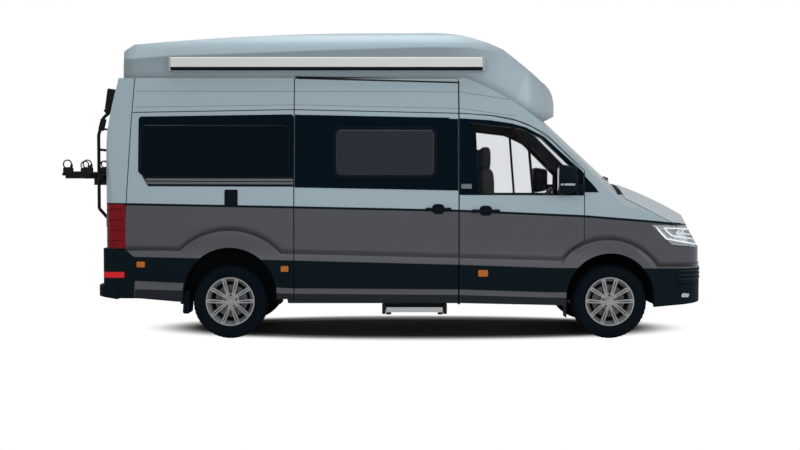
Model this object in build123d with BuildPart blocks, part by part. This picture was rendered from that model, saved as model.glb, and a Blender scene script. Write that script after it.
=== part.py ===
"""High-roof camper van on a front-wheel-drive panel-van body, modelled as separate panels,
doors, wheels and fittings.  X points forward, Y to the left, Z up, in millimetres.  The origin
is on the ground, midway between the nose and the tail of the cycle carrier."""

from build123d import *
from math import cos, hypot, radians, sin
import os

os.makedirs("parts", exist_ok=True)

# ---------------------------------------------------------------- driving dimensions
wheelbase = 3640.0
front_overhang = 1000.0
rear_overhang = 1346.0
carrier_reach = 303.0           # cycle carrier's tail behind the rear bumper
body_half_width = 1008.0        # above the crease; the lower body stands out from it
flare = 7.0                     # painted lower body, out from the upper body
cladding = 12.0                 # black band, out from the upper body
joint_height = 2500.0           # where the moulded roof sits on the steel body
roof_height = 2982.0
wall = 50.0                     # body side, door and pillar thickness
rebate = 45.0                   # depth of the flange a closed door shuts against
lap = 60.0                      # how far that flange reaches behind the door
roof_wall = 38.0                # moulded roof sandwich
glass = 6.0
floor_top = 560.0
floor_plate = 60.0
gap = 6.0                       # shut line between panels
seat = 0.3                      # running clearance between pieces that bear on each other
track = 1720.0
tyre_radius = 357.0
rim_radius = 234.0
kingpin_half = 815.0            # steering axis from the centre line

overall_length = carrier_reach + rear_overhang + wheelbase + front_overhang
tail_x = -overall_length / 2
rear_bumper_x = tail_x + carrier_reach
rear_axle_x = rear_bumper_x + rear_overhang
front_axle_x = rear_axle_x + wheelbase
nose_x = front_axle_x + front_overhang
far = 2 * overall_length        # longer than anything it cuts
wide = 1400.0                   # wider than the body on one side

# ---------------------------------------------------------------- stations along the body
rear_face_x = rear_axle_x - 1200.0       # rear doors' skin at the belt
rear_top_x = rear_face_x + 130.0
b_line_x = front_axle_x - 1450.0         # cab door meets sliding door
slide_rear_x = b_line_x - 1573.0
door_front_x = front_axle_x - 253.0      # cab door's front edge above the arch
door_toe_x = front_axle_x - 561.0        # cab door's front edge below the arch
firewall_x = front_axle_x + 60.0
screen_slope = 0.918                     # rise over run
crown_z = joint_height + 260.0           # above the roof joint even at the body's edges
cowl_x = front_axle_x + 130.0
cowl_z = 1489.0
bonnet_rear_x = cowl_x + 40.0
grille_top_x = nose_x - 80.0
grille_top_z = 1085.0
nose_lip_z = 756.0
skirt_z = 300.0
rear_arch_radius = 450.0
rear_arch_z = 427.0
front_arch_radius = 422.0
front_arch_z = 400.0
liner = 30.0                             # wheel housing thickness
rear_arch_depth = 330.0
front_housing_half = 540.0               # inner end of the front housings


def save(builder, name):
    """Label a finished piece and write it to its own STEP file."""
    builder.part.label = name
    export_step(builder.part, f"parts/{name}.step")


# ---------------------------------------------------------------- outlines
# An outline is a list of (kind, a, b) rows; a "via" row bends its span into an arc.
def moved_in(rows, inset):
    """The outline with every point moved in by inset, square to its neighbours."""
    area = sum(a0 * b1 - a1 * b0 for (_, a0, b0), (_, a1, b1) in zip(rows, rows[1:] + rows[:1]))
    turn = 1.0 if area > 0 else -1.0
    moved = []
    for i, (kind, a, b) in enumerate(rows):
        before = rows[i - 1]
        after = rows[(i + 1) % len(rows)]
        run_in = hypot(a - before[1], b - before[2])
        run_out = hypot(after[1] - a, after[2] - b)
        normal_in = (-(b - before[2]) / run_in * turn, (a - before[1]) / run_in * turn)
        normal_out = (-(after[2] - b) / run_out * turn, (after[1] - a) / run_out * turn)
        share = inset / (1 + normal_in[0] * normal_out[0] + normal_in[1] * normal_out[1])
        new_a = a + share * (normal_in[0] + normal_out[0])
        new_b = b + share * (normal_in[1] + normal_out[1])
        moved.append((kind, new_a, new_b))
    return moved


def face_of(plane, rows):
    """Sketch of a closed outline on a plane."""
    with BuildSketch(plane) as sketch:
        with BuildLine():
            corners = rows + rows[:1]
            start = corners[0][1:]
            via = None
            for kind, a, b in corners[1:]:
                if kind == "via":
                    via = (a, b)
                elif via:
                    ThreePointArc(start, via, (a, b))
                    start = (a, b)
                    via = None
                else:
                    Line(start, (a, b))
                    start = (a, b)
        make_face()
    return sketch.sketch


def both_sides(rows):
    """A half outline (first and last rows on the centre line) joined to its mirror image."""
    return rows + [(kind, -a, b) for kind, a, b in reversed(rows[1:-1])]


def side_prism(rows, y_from, y_to):
    """Side-view outline (x, z) carried across from y_from up to y_to."""
    with BuildPart() as prism:
        extrude(face_of(Plane.XZ.offset(-y_to), rows), amount=y_to - y_from, dir=(0, -1, 0))
    return prism.part


def side_polygon(points, y_from, y_to):
    """Straight-sided side_prism."""
    return side_prism([("to", x, z) for x, z in points], y_from, y_to)


def end_polygon(points, x_from, x_to):
    """Front-view polygon (y, z) carried along from x_from up to x_to."""
    with BuildPart() as prism:
        rows = [("to", y, z) for y, z in points]
        extrude(face_of(Plane.YZ.offset(x_from), rows), amount=x_to - x_from, dir=(1, 0, 0))
    return prism.part


def block(x0, x1, y0, y1, z0, z1, soft=0.0):
    """Box between two corners, its edges optionally rounded."""
    with BuildPart() as box:
        with Locations(((x0 + x1) / 2, (y0 + y1) / 2, (z0 + z1) / 2)):
            Box(abs(x1 - x0), abs(y1 - y0), abs(z1 - z0))
        if soft:
            fillet(box.edges(), radius=soft)
    return box.part


def bar_y(x, z, radius, y_from, y_to):
    """Round bar lying across the vehicle."""
    with BuildPart() as bar:
        with Locations(Plane.XZ.offset(-y_to)):
            with Locations((x, z)):
                Cylinder(radius, y_to - y_from, align=(Align.CENTER, Align.CENTER, Align.MIN))
    return bar.part


# ---------------------------------------------------------------- body form
steel_axis_z = -900.0            # the body is turned about a low lengthwise axis
roof_axis_z = -5200.0            # the moulded roof is flatter, so its axis lies lower

half_section = [
    ("to", 0.0, 200.0),
    ("to", body_half_width - 30.0, 200.0),
    ("via", body_half_width - 6.0, 700.0),
    ("to", body_half_width, 1080.0),
    ("via", body_half_width - 28.0, 1650.0),
    ("to", body_half_width - 76.0, 2160.0),
    ("to", body_half_width - 134.0, joint_height),
    ("to", body_half_width - 192.0, 2760.0),
    ("via", body_half_width - 238.0, 2885.0),
    ("to", body_half_width - 368.0, 2955.0),
    ("to", 0.0, roof_height + 100),
]
nose_half = 720.0
nose_side_x = nose_x - 105.0
steel_half_plan = [
    ("to", nose_x - 4, 0.0),
    ("via", nose_x - 26.0, nose_half / 2),
    ("to", nose_side_x, nose_half),
    ("via", nose_side_x - 72.0, 860.0),
    ("to", nose_x - 300.0, body_half_width - 68.0),
    ("via", front_axle_x + 200.0, body_half_width - 15.0),
    ("to", front_axle_x - 350.0, body_half_width),
    ("to", rear_face_x + 125.0, body_half_width),
    ("via", rear_face_x + 42.0, body_half_width - 43.0),
    ("to", rear_face_x + 14.0, body_half_width - 178.0),
    ("via", rear_face_x - 1.0, 460.0),
    ("to", rear_face_x - 6, 0.0),
]
steel_profile = [
    ("to", rear_face_x, 100.0),
    ("to", rear_face_x, 1650.0),
    ("via", rear_face_x + 25.0, 2080.0),
    ("to", rear_top_x - 14.0, joint_height + 60),
    ("to", rear_top_x + 20, crown_z),
    ("to", cowl_x - (crown_z - cowl_z) / screen_slope, crown_z),
    ("to", cowl_x, cowl_z),
    ("to", front_axle_x + 222.0, 1474.0),
    ("via", front_axle_x + 600.0, 1315.0),
    ("to", nose_x - 150.0, 1180.0),
    ("via", nose_x - 98.0, 1138.0),
    ("to", grille_top_x, grille_top_z),
    ("to", nose_x - cladding - 2, nose_lip_z + 25),
    ("to", nose_x - cladding, nose_lip_z - 20),
    ("to", nose_x - cladding, 470.0),
    ("to", nose_x - 60.0, skirt_z),
    ("to", nose_x - 60.0, 100.0),
]
joint_run = [                    # the line along which the moulded roof meets the steel
    ("to", b_line_x + 66.0, joint_height),
    ("via", front_axle_x - 1045.0, 2345.0),
    ("to", front_axle_x - 705.0, 2118.0),
    ("to", front_axle_x - 580.0, 2105.0),
    ("to", front_axle_x - 445.0, 2170.0),
]
roof_half_plan = [
    ("to", front_axle_x - 436.0, 0.0),
    ("via", front_axle_x - 480.0, 330.0),
    ("to", front_axle_x - 610.0, 640.0),
    ("via", front_axle_x - 745.0, 815.0),
    ("to", front_axle_x - 960.0, 930.0),
    ("via", front_axle_x - 1300.0, 985.0),
    ("to", front_axle_x - 1700.0, 1000.0),
    ("to", rear_top_x + 170.0, 1000.0),
    ("to", rear_top_x + 20.0, 760.0),
    ("via", rear_top_x + 4.0, 380.0),
    ("to", rear_top_x - 8.0, 0.0),
]
roof_profile = [
    ("to", rear_top_x - 8.0, joint_height - 250.0),
    ("to", b_line_x, joint_height - 250.0),
    ("to", front_axle_x - 800.0, 1980.0),
    ("to", front_axle_x - 442.0, 1980.0),
    ("to", front_axle_x - 442.0, 2230.0),
    ("via", front_axle_x - 490.0, 2375.0),
    ("to", front_axle_x - 625.0, 2505.0),
    ("to", front_axle_x - 1010.0, 2816.0),
    ("via", front_axle_x - 1365.0, 2946.0),
    ("to", front_axle_x - 1845.0, roof_height),
    ("via", rear_axle_x + 495.0, roof_height - 20.0),
    ("to", rear_face_x + 265.0, 2868.0),
    ("to", rear_face_x + 160.0, 2795.0),
]


def turned_form(profile, half_plan, axis_z, inset):
    """Solid turned about a lengthwise axis, then trimmed to the front and plan outlines."""
    # the side view is drawn below the axis, so the turned surface's seam is out of the way
    side = Plane(origin=(0, 0, axis_z), x_dir=(1, 0, 0), z_dir=(0, 1, 0))
    rows = [(kind, x, z - axis_z) for kind, x, z in moved_in(profile, inset)]
    section = moved_in(both_sides(half_section), inset)
    plan = moved_in(half_plan_closed(half_plan), inset)
    with BuildPart() as form:
        revolve(face_of(side, rows), axis=Axis((0, 0, axis_z), (1, 0, 0)))
        extrude(face_of(Plane.YZ.offset(-far / 2), section), amount=far, dir=(1, 0, 0), mode=Mode.INTERSECT)
        extrude(face_of(Plane.XY.offset(-far / 2), plan), amount=far, dir=(0, 0, 1), mode=Mode.INTERSECT)
    return form.part


def half_plan_closed(rows):
    """A half plan (first and last rows on the centre line) joined to its mirror image."""
    return rows + [(kind, a, -b) for kind, a, b in reversed(rows[1:-1])]


# The lamps sit on raked corners: a plane through (nose_cut_x, 0, nose_cut_z) on each side.
nose_cut_x = nose_x + 62.0
nose_cut_z = 860.0
nose_cut_turn = 0.222            # how fast the corner falls back, outwards and upwards
nose_cut_lean = 0.545


def steel_form(inset):
    """The steel body with its corners raked back above the bumper."""
    with BuildPart() as form:
        add(turned_form(steel_profile, steel_half_plan, steel_axis_z, inset))
        for side in (-1, 1):
            facing = Plane(origin=(nose_cut_x, 0, nose_cut_z), z_dir=(1, side * nose_cut_turn, nose_cut_lean))
            with Locations(facing.offset(-inset)):
                Box(wide, far, wide, align=(Align.CENTER, Align.CENTER, Align.MIN), mode=Mode.SUBTRACT)
    return form.part


def roof_form(inset):
    return turned_form(roof_profile, roof_half_plan, roof_axis_z, inset)


def side_form(inset):
    """The steel body's section and plan alone, without its windscreen and nose."""
    section = moved_in(both_sides(half_section), inset)
    plan = moved_in(half_plan_closed(steel_half_plan), inset)
    with BuildPart() as form:
        extrude(face_of(Plane.YZ.offset(-far / 2), section), amount=far, dir=(1, 0, 0))
        extrude(face_of(Plane.XY.offset(-far / 2), plan), amount=far, dir=(0, 0, 1), mode=Mode.INTERSECT)
    return form.part


# ---------------------------------------------------------------- shared solids
lower_body = side_prism(
    [
        ("to", rear_face_x + 60.0, 0.0),
        ("to", rear_face_x + 60.0, 877.0),
        ("to", rear_axle_x - 590.0, 877.0),
        ("via", rear_axle_x, 1083.0),
        ("to", rear_axle_x + 560.0, 849.0),
        ("to", b_line_x, 808.0),
        ("to", front_axle_x - 446.0, 781.0),
        ("via", front_axle_x, 991.0),
        ("to", front_axle_x + 456.0, 717.0),
        ("to", nose_x + 60.0, 717.0),
        ("to", nose_x + 60.0, 0.0),
    ],
    -wide,
    wide,
)
clad_band = side_polygon(
    [(rear_face_x + 60.0, 565.0), (rear_face_x + 60.0, 794.0), (slide_rear_x, 754.0), (b_line_x, 714.0),
     (door_toe_x, 684.0), (front_axle_x, 675.0), (nose_x + 60.0, 673.0), (nose_x + 60.0, 0.0),
     (front_axle_x - 300.0, 0.0), (front_axle_x - 300.0, 448.0), (door_toe_x, 450.0), (b_line_x, 478.0),
     (slide_rear_x, 488.0)],
    -wide,
    wide,
)
skin = steel_form(0) + (steel_form(-flare) & lower_body) + (steel_form(-cladding) & clad_band)
inner_skin = steel_form(wall)
pocket_form = steel_form(wall + seat)
bonnet_ledge = 30.0
ledge_form = steel_form(bonnet_ledge)
deep_form = steel_form(wall + rebate)
door_inside = side_form(wall)            # the cab doors don't wrap round onto the windscreen
door_pocket = side_form(wall + seat)
roof_skin = roof_form(0)
roof_inside = roof_form(roof_wall)
joint_z_far = 3400.0
above_joint = side_prism(
    [
        ("to", tail_x, joint_height),
        *joint_run,
        ("to", front_axle_x - 445.0, joint_z_far),
        ("to", tail_x, joint_z_far),
    ],
    -wide,
    wide,
)
roof_nose_floor = side_polygon(
    [(front_axle_x - 605.0, 1900.0), (front_axle_x - 605.0, 2150.0), (front_axle_x - 480.0, 2230.0),
     (front_axle_x - 400.0, 2260.0), (front_axle_x - 400.0, 1900.0)],
    -wide,
    wide,
)
sill_line = [(rear_face_x, 392.0), (slide_rear_x, 383.0), (b_line_x, 345.0), (door_toe_x, 326.0)]
below_sill = side_polygon(
    [(tail_x, 0), (tail_x, 470.0), (rear_face_x - 5, 470.0), *sill_line, (front_axle_x - 410, 322.0),
     (front_axle_x + 410, 306.0), (nose_x - 90, 345.0), (nose_x + 60, 352.0), (nose_x + 60, 0)],
    -wide,
    wide,
)


def arch_cut(x, z, radius, y_from, y_to):
    """Round-topped wheel opening, straight-sided below its centre."""
    rows = [
        ("to", x - radius, 0.0),
        ("to", x - radius, z),
        ("via", x, z + radius),
        ("to", x + radius, z),
        ("to", x + radius, 0.0),
    ]
    return side_prism(rows, y_from, y_to)


with BuildPart() as arch_cuts:
    for side in (-1, 1):
        near, away = sorted((side * (body_half_width - rear_arch_depth), side * wide))
        add(arch_cut(rear_axle_x, rear_arch_z, rear_arch_radius, near, away))
        near, away = sorted((side * front_housing_half, side * wide))
        add(arch_cut(front_axle_x, front_arch_z, front_arch_radius, near, away))

with BuildPart() as housing_blanks:
    for side in (-1, 1):
        near, away = sorted((side * (body_half_width - rear_arch_depth - liner), side * wide))
        add(arch_cut(rear_axle_x, rear_arch_z, rear_arch_radius + liner, near, away))
        near, away = sorted((side * (front_housing_half - liner), side * wide))
        add(arch_cut(front_axle_x, front_arch_z, front_arch_radius + liner, near, away))

# outlines of the openings, seen from the side
cab_door_rows = [
    ("to", b_line_x + gap, 345.0),
    ("to", door_toe_x, 326.0),
    ("to", door_toe_x, 625.0),
    ("to", front_axle_x - 473.0, 706.0),
    ("via", front_axle_x - 380.0, 850.0),
    ("to", door_front_x, 935.0),
    ("to", door_front_x, 1610.0),
    ("to", front_axle_x - 622.0, 1962.0),
    ("to", front_axle_x - 800.0, 2056.0),
    ("to", front_axle_x - 940.0, 2105.0),
    ("to", front_axle_x - 1135.0, 2138.0),
    ("to", b_line_x + gap, 2158.0),
]
cab_window_rows = [
    ("to", b_line_x + 125.0, 1385.0),
    ("to", door_front_x - 60.0, 1385.0),
    ("to", door_front_x - 60.0, 1575.0),
    ("to", front_axle_x - 665.0, 1925.0),
    ("to", front_axle_x - 860.0, 2012.0),
    ("to", b_line_x + 100.0, 2070.0),
]
slide_door_rows = [
    ("to", slide_rear_x, 383.0),
    ("to", b_line_x - gap, 345.0),
    ("to", b_line_x - gap, joint_height - 4.0),
    ("to", slide_rear_x, joint_height - 4.0),
]
rear_door_half = 800.0
rear_door_low = 515.0
rear_door_high = 2400.0


def opening(rows, change, y_from, y_to):
    """Prism of an opening outline, grown (change below zero) or shrunk all round."""
    return side_prism(moved_in(rows, change), y_from, y_to)


screen_half = [(812.0, 1380.0), (775.0, 1760.0), (705.0, 2300.0)]
screen_rows = screen_half + [(-y, z) for y, z in reversed(screen_half)]
screen_low_x = cowl_x - 12.0
screen_hole = end_polygon(screen_rows, firewall_x - 900.0, screen_low_x)
bonnet_rows = [
    ("to", bonnet_rear_x, 2000.0),
    ("to", bonnet_rear_x, 1345.0),
    ("to", front_axle_x + 600.0, 1117.0),
    ("to", nose_x - 150.0, 1092.0),
    ("to", nose_x + 60.0, 1092.0),
    ("to", nose_x + 60.0, 2000.0),
]
bonnet_clear = side_prism(moved_in(bonnet_rows, -gap), -wide, wide) - ledge_form
bonnet_clear = bonnet_clear + side_prism(moved_in(bonnet_rows, -seat), -wide, wide)
lamp_rows = [
    ("to", front_axle_x + 387.0, 1098.0),
    ("to", front_axle_x + 590.0, 898.0),
    ("to", nose_x - 60.0, 860.0),
    ("to", nose_x - 60.0, 1080.0),
]
bumper_rows = [
    ("to", front_axle_x + 360.0, 200.0),
    ("to", front_axle_x + 360.0, 690.0),
    ("to", front_axle_x + 440.0, 850.0),
    ("to", front_axle_x + 590.0, 898.0),
    ("to", nose_x - 60.0, 860.0),
    ("to", nose_x + 100.0, 860.0),
    ("to", nose_x + 100.0, 200.0),
]
bumper_split_z = 673.0
grille_half = 520.0
grille_back = 38.0              # the grille's dark back plate, in from its bars' faces
bar_half = 13.0
bar_heights = (862.0, 965.0, 1068.0)
rib_heights = (520.0, 560.0, 600.0, 640.0)
lamp_blank = side_prism(lamp_rows, -wide, wide)
bumper_blank = side_prism(bumper_rows, -wide, wide)
rib_floor = steel_form(-2)       # the apron's grooves are cut down to this skin
grille_blank = block(nose_x - 300, nose_x + 60, -grille_half, grille_half, bumper_split_z, 1092.0 - gap)

# ---------------------------------------------------------------- steel body
shell_thin = skin - inner_skin - above_joint - below_sill - arch_cuts.part
shell_deep = skin - deep_form - above_joint - below_sill - arch_cuts.part

door_openings_right = opening(cab_door_rows, -gap, -wide, 0)
door_openings_left = opening(cab_door_rows, -gap, 0, wide)
slide_opening = opening(slide_door_rows, -gap, -wide, 0)

rear_zone = block(tail_x, rear_face_x + 240, -wide, wide, 0, 3000)
rear_pocket = block(tail_x, rear_face_x + 240, -rear_door_half, rear_door_half, rear_door_low, rear_door_high)
rear_through = block(tail_x, rear_face_x + 240, -rear_door_half + lap, rear_door_half - lap,
                     rear_door_low + 30, rear_door_high - lap)
lamp_column = block(tail_x, rear_face_x + 190, -wide, wide, 870.0, 1291.0)
lamp_column_in = block(tail_x, rear_face_x + 190, -rear_door_half - 30, rear_door_half + 30, 870.0, 1291.0)
bumper_corner = block(tail_x, rear_face_x + 135, -wide, wide, 0, 870.0)

with BuildPart() as rear_frame:
    add(shell_deep & rear_zone)
    add(rear_pocket - pocket_form, mode=Mode.SUBTRACT)
    add(rear_through, mode=Mode.SUBTRACT)
    add(lamp_column - lamp_column_in - deep_form, mode=Mode.SUBTRACT)
    add(bumper_corner - inner_skin, mode=Mode.SUBTRACT)

with BuildPart() as tail_lamps:
    add(lamp_column - lamp_column_in - deep_form)
    add(skin, mode=Mode.INTERSECT)

flange_run = opening(slide_door_rows, -lap, -wide, 0) - opening(slide_door_rows, lap, -wide, 0)
slide_flange = (inner_skin - deep_form) & flange_run
slide_flange = slide_flange - above_joint - below_sill - block(b_line_x, nose_x, -wide, 0, 0, 3000)
slide_hole = block(b_line_x - 1180.0, b_line_x - 226.0, -wide, wide, 1558.0, 2010.0, 60.0)
quarter_hole = block(rear_face_x + 360.0, slide_rear_x - 55.0, -wide, wide, 1562.0, 2038.0, 60.0)
glass_form = steel_form(14) - steel_form(14 + glass)
side_zone = block(rear_face_x + 240, b_line_x, -wide, wide, 0, 3000)
with BuildPart() as side_wall_left:
    add(shell_thin & side_zone)
    add(block(tail_x, nose_x, -wide, 0, 0, 3000), mode=Mode.SUBTRACT)
    add(quarter_hole, mode=Mode.SUBTRACT)
    add(slide_hole, mode=Mode.SUBTRACT)

with BuildPart() as side_wall_right:
    add(shell_thin & side_zone)
    add(block(tail_x, nose_x, 0, wide, 0, 3000), mode=Mode.SUBTRACT)
    add(slide_opening, mode=Mode.SUBTRACT)
    add(slide_flange)
    add(quarter_hole, mode=Mode.SUBTRACT)

with BuildPart() as sliding_door:
    add(shell_thin)
    add(opening(slide_door_rows, 0, -wide, 0), mode=Mode.INTERSECT)
    add(slide_hole, mode=Mode.SUBTRACT)

with BuildPart() as side_windows:
    add(glass_form & slide_hole)
    add(glass_form & quarter_hole)

cab_zone = block(b_line_x, bonnet_rear_x, -wide, wide, 0, 3000)
cabin_cut = side_polygon(
    [(b_line_x - 500, floor_top), (firewall_x, floor_top), (firewall_x, 1240.0), (firewall_x - 60, 1330.0),
     (firewall_x - 60, 3000), (b_line_x - 500, 3000)],
    -wide,
    wide,
)
engine_cut = block(firewall_x + 40, nose_x, -wide, wide, 0, 1400)
wing_zone = side_polygon(
    [(door_toe_x, 0), (door_toe_x, 625.0), (front_axle_x - 473.0, 706.0), (front_axle_x - 380.0, 850.0),
     (door_front_x, 935.0), (door_front_x, 1405.0), (nose_x + 60, 1400.0), (nose_x + 60, 0)],
    -wide,
    wide,
)
cowl_zone = block(screen_low_x, bonnet_rear_x, -812.0, 812.0, 1380.0, 1700.0)

with BuildPart() as cab_shell:
    add((skin & cab_zone) - above_joint - below_sill)
    add(cabin_cut & deep_form, mode=Mode.SUBTRACT)
    add(engine_cut & inner_skin, mode=Mode.SUBTRACT)
    add(block(b_line_x - 10, nose_x, -wide, wide, 0, floor_top - floor_plate), mode=Mode.SUBTRACT)
    add(block(b_line_x - 10, firewall_x, -wide, wide, 0, floor_top) & pocket_form, mode=Mode.SUBTRACT)
    add(housing_blanks.part, mode=Mode.SUBTRACT)
    add(door_openings_right - door_pocket, mode=Mode.SUBTRACT)
    add(door_openings_left - door_pocket, mode=Mode.SUBTRACT)
    add(opening(cab_door_rows, lap, -wide, wide) & cabin_cut, mode=Mode.SUBTRACT)
    add(wing_zone - inner_skin, mode=Mode.SUBTRACT)
    add(screen_hole, mode=Mode.SUBTRACT)
    add(cowl_zone, mode=Mode.SUBTRACT)
    add(bonnet_clear, mode=Mode.SUBTRACT)

with BuildPart() as cowl_panel:
    add((skin - inner_skin) & cowl_zone)
    add(bonnet_clear, mode=Mode.SUBTRACT)

with BuildPart() as windscreen:
    add(steel_form(4) - steel_form(4 + glass))
    add(screen_hole, mode=Mode.INTERSECT)
    add(above_joint, mode=Mode.SUBTRACT)

with BuildPart() as front_wings:
    add(shell_thin & wing_zone)
    add(bonnet_clear, mode=Mode.SUBTRACT)
    add(bumper_blank, mode=Mode.SUBTRACT)
    add(lamp_blank, mode=Mode.SUBTRACT)
    add(grille_blank, mode=Mode.SUBTRACT)
    add(block(nose_x - 400, nose_x + 60, -700, 700, 0, 2000), mode=Mode.SUBTRACT)
    add(cowl_zone, mode=Mode.SUBTRACT)
    add(screen_hole, mode=Mode.SUBTRACT)
    add(block(0, nose_x, -700, 700, 0, 2000), mode=Mode.SUBTRACT)

with BuildPart() as headlamps:
    add(shell_thin & lamp_blank)
    add(bonnet_clear, mode=Mode.SUBTRACT)
    add(grille_blank, mode=Mode.SUBTRACT)
    add(block(0, nose_x, -grille_half, grille_half, 0, 2000), mode=Mode.SUBTRACT)

with BuildPart() as front_bumper:
    add(shell_thin & bumper_blank)
    add(grille_blank, mode=Mode.SUBTRACT)
    add(block(0, nose_x + 60, -wide, wide, 0, bumper_split_z), mode=Mode.SUBTRACT)

lower_intake = block(front_axle_x + 700, nose_x + 60, -grille_half, grille_half, 430.0, 600.0, 24.0)
with BuildPart() as bumper_apron:
    add(shell_thin & bumper_blank)
    add(block(0, nose_x + 60, -wide, wide, bumper_split_z, 1200), mode=Mode.SUBTRACT)
    add(lower_intake, mode=Mode.SUBTRACT)
    for side in (-1, 1):
        y0, y1 = sorted((side * 600.0, side * wide))
        for z in rib_heights:
            groove = block(front_axle_x + 640, nose_x + 60, y0, y1, z, z + 12.0)
            add(groove - rib_floor, mode=Mode.SUBTRACT)

with BuildPart() as grille:
    add(steel_form(grille_back) - inner_skin)
    add(grille_blank, mode=Mode.INTERSECT)

with BuildPart() as grille_bars:
    for z in bar_heights:
        add(block(nose_x - 300, nose_x + 60, -grille_half, grille_half, z - bar_half, z + bar_half))
    add(skin, mode=Mode.INTERSECT)
    add(steel_form(grille_back), mode=Mode.SUBTRACT)

with BuildPart() as bonnet:
    add(skin - inner_skin)
    add(side_prism(bonnet_rows, -wide, wide), mode=Mode.INTERSECT)

with BuildPart() as high_roof:
    add(roof_skin)
    add(roof_inside - roof_nose_floor, mode=Mode.SUBTRACT)
    add(above_joint, mode=Mode.INTERSECT)

# ---------------------------------------------------------------- hinged doors
with BuildPart() as cab_door_left:
    add((skin - door_inside - below_sill - arch_cuts.part) & opening(cab_door_rows, 0, 0, wide))
    add(opening(cab_window_rows, 0, 0, wide), mode=Mode.SUBTRACT)

with BuildPart() as cab_glass_left:
    add(glass_form & opening(cab_window_rows, 0, 0, wide))

with BuildPart() as cab_door_right:
    mirror(cab_door_left.part, about=Plane.XZ)

with BuildPart() as cab_glass_right:
    mirror(cab_glass_left.part, about=Plane.XZ)

rear_window = block(tail_x, rear_face_x + 240, 120.0, rear_door_half - 130.0, 1480.0, 2020.0)
with BuildPart() as rear_door_left:
    add(shell_thin & block(tail_x, rear_face_x + 240, gap, rear_door_half - gap, rear_door_low + gap,
                           rear_door_high - gap))
    add(rear_window, mode=Mode.SUBTRACT)

with BuildPart() as rear_glass_left:
    add(glass_form & rear_window)

with BuildPart() as rear_door_right:
    mirror(rear_door_left.part, about=Plane.XZ)

with BuildPart() as rear_glass_right:
    mirror(rear_glass_left.part, about=Plane.XZ)

# mirror, on its arm, with the handle and the mirror's base plate
with BuildPart() as mirror_left:
    add(block(front_axle_x - 520.0, front_axle_x - 355.0, 1050.0, 1250.0, 1385.0, 1665.0, 45.0))
    add(block(front_axle_x - 400.0, front_axle_x - 262.0, 950.0, 1100.0, 1405.0, 1480.0, 14.0))
    add(skin, mode=Mode.SUBTRACT)

with BuildPart() as mirror_right:
    mirror(mirror_left.part, about=Plane.XZ)

# ---------------------------------------------------------------- floor, housings and rear body fittings
with BuildPart() as floor_pan:
    add(block(rear_face_x + 66, firewall_x, -wide, wide, floor_top - floor_plate, floor_top))
    for side in (-1, 1):
        add(block(rear_axle_x + 560, door_toe_x, side * 830.0, side * 950.0, 400.0, floor_top - floor_plate))
        add(block(rear_face_x + 120, firewall_x, side * 430.0, side * 500.0, 400.0, floor_top - floor_plate))
    add(inner_skin, mode=Mode.INTERSECT)
    add(block(b_line_x, nose_x, -wide, wide, 0, 3000) - pocket_form, mode=Mode.SUBTRACT)
    add(housing_blanks.part, mode=Mode.SUBTRACT)
    for neighbour in (rear_frame, side_wall_right, cab_shell):
        add(neighbour.part, mode=Mode.SUBTRACT)

with BuildPart() as wheel_housings:
    add(housing_blanks.part & inner_skin)
    add(arch_cuts.part, mode=Mode.SUBTRACT)
    add(block(tail_x, nose_x, -wide, wide, 0, 330.0), mode=Mode.SUBTRACT)
    add(block(rear_axle_x - 140.0, rear_axle_x + 140.0, -wide, wide, 0, 520.0), mode=Mode.SUBTRACT)

# plan rows of the rear bumper, and of the step that stands out below it
bumper_plan = [
    ("to", rear_face_x + 135.0, body_half_width),
    ("to", rear_face_x + 60.0, body_half_width),
    ("via", rear_face_x - 5.0, 968.0),
    ("to", rear_face_x - 12.0, 900.0),
    ("to", rear_face_x - 30.0, 0.0),
]
step_plan = [
    ("to", rear_face_x + 135.0, body_half_width),
    ("to", rear_face_x + 30.0, body_half_width),
    ("via", rear_face_x - 42.0, 968.0),
    ("to", rear_face_x - 56.0, 890.0),
    ("to", rear_bumper_x, 540.0),
    ("to", rear_bumper_x, 0.0),
]
bumper_low = 385.0
bumper_high = 870.0
step_low = 430.0
step_high = 516.0
under_step = side_polygon(
    [(tail_x, 0), (tail_x, step_low), (rear_bumper_x, step_low), (rear_face_x + 140, bumper_low - 4),
     (rear_face_x + 140, 0)],
    -wide,
    wide,
)
step_slope = side_polygon([(tail_x, 545.0), (rear_bumper_x, 490.0), (rear_face_x - 16, 545.0)], -wide, wide)
behind_doors_half = rear_door_half + 6.0
with BuildPart() as rear_bumper:
    rows = bumper_plan + [(kind, a, -b) for kind, a, b in reversed(bumper_plan[:-1])]
    extrude(face_of(Plane.XY.offset(bumper_low), rows), amount=bumper_high - bumper_low, dir=(0, 0, 1))
    rows = step_plan + [(kind, a, -b) for kind, a, b in reversed(step_plan[:-1])]
    extrude(face_of(Plane.XY.offset(bumper_low), rows), amount=step_high - bumper_low, dir=(0, 0, 1))
    add(under_step, mode=Mode.SUBTRACT)
    add(step_slope, mode=Mode.SUBTRACT)
    add(block(tail_x, rear_face_x - gap, -behind_doors_half, behind_doors_half, rear_door_low - 20, 900.0),
        mode=Mode.SUBTRACT)
    add(block(rear_face_x - gap, 0, -behind_doors_half, behind_doors_half, 300.0, 900.0), mode=Mode.SUBTRACT)
    add(block(rear_face_x - gap - 1, 0, -body_half_width + wall, body_half_width - wall, 300.0, 900.0),
        mode=Mode.SUBTRACT)

with BuildPart() as awning_case:
    add(block(rear_axle_x - 575.0, b_line_x + 243.0, -962.0, -838.0, 2565.0, 2695.0, 22.0))
    add(roof_skin, mode=Mode.SUBTRACT)

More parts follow.
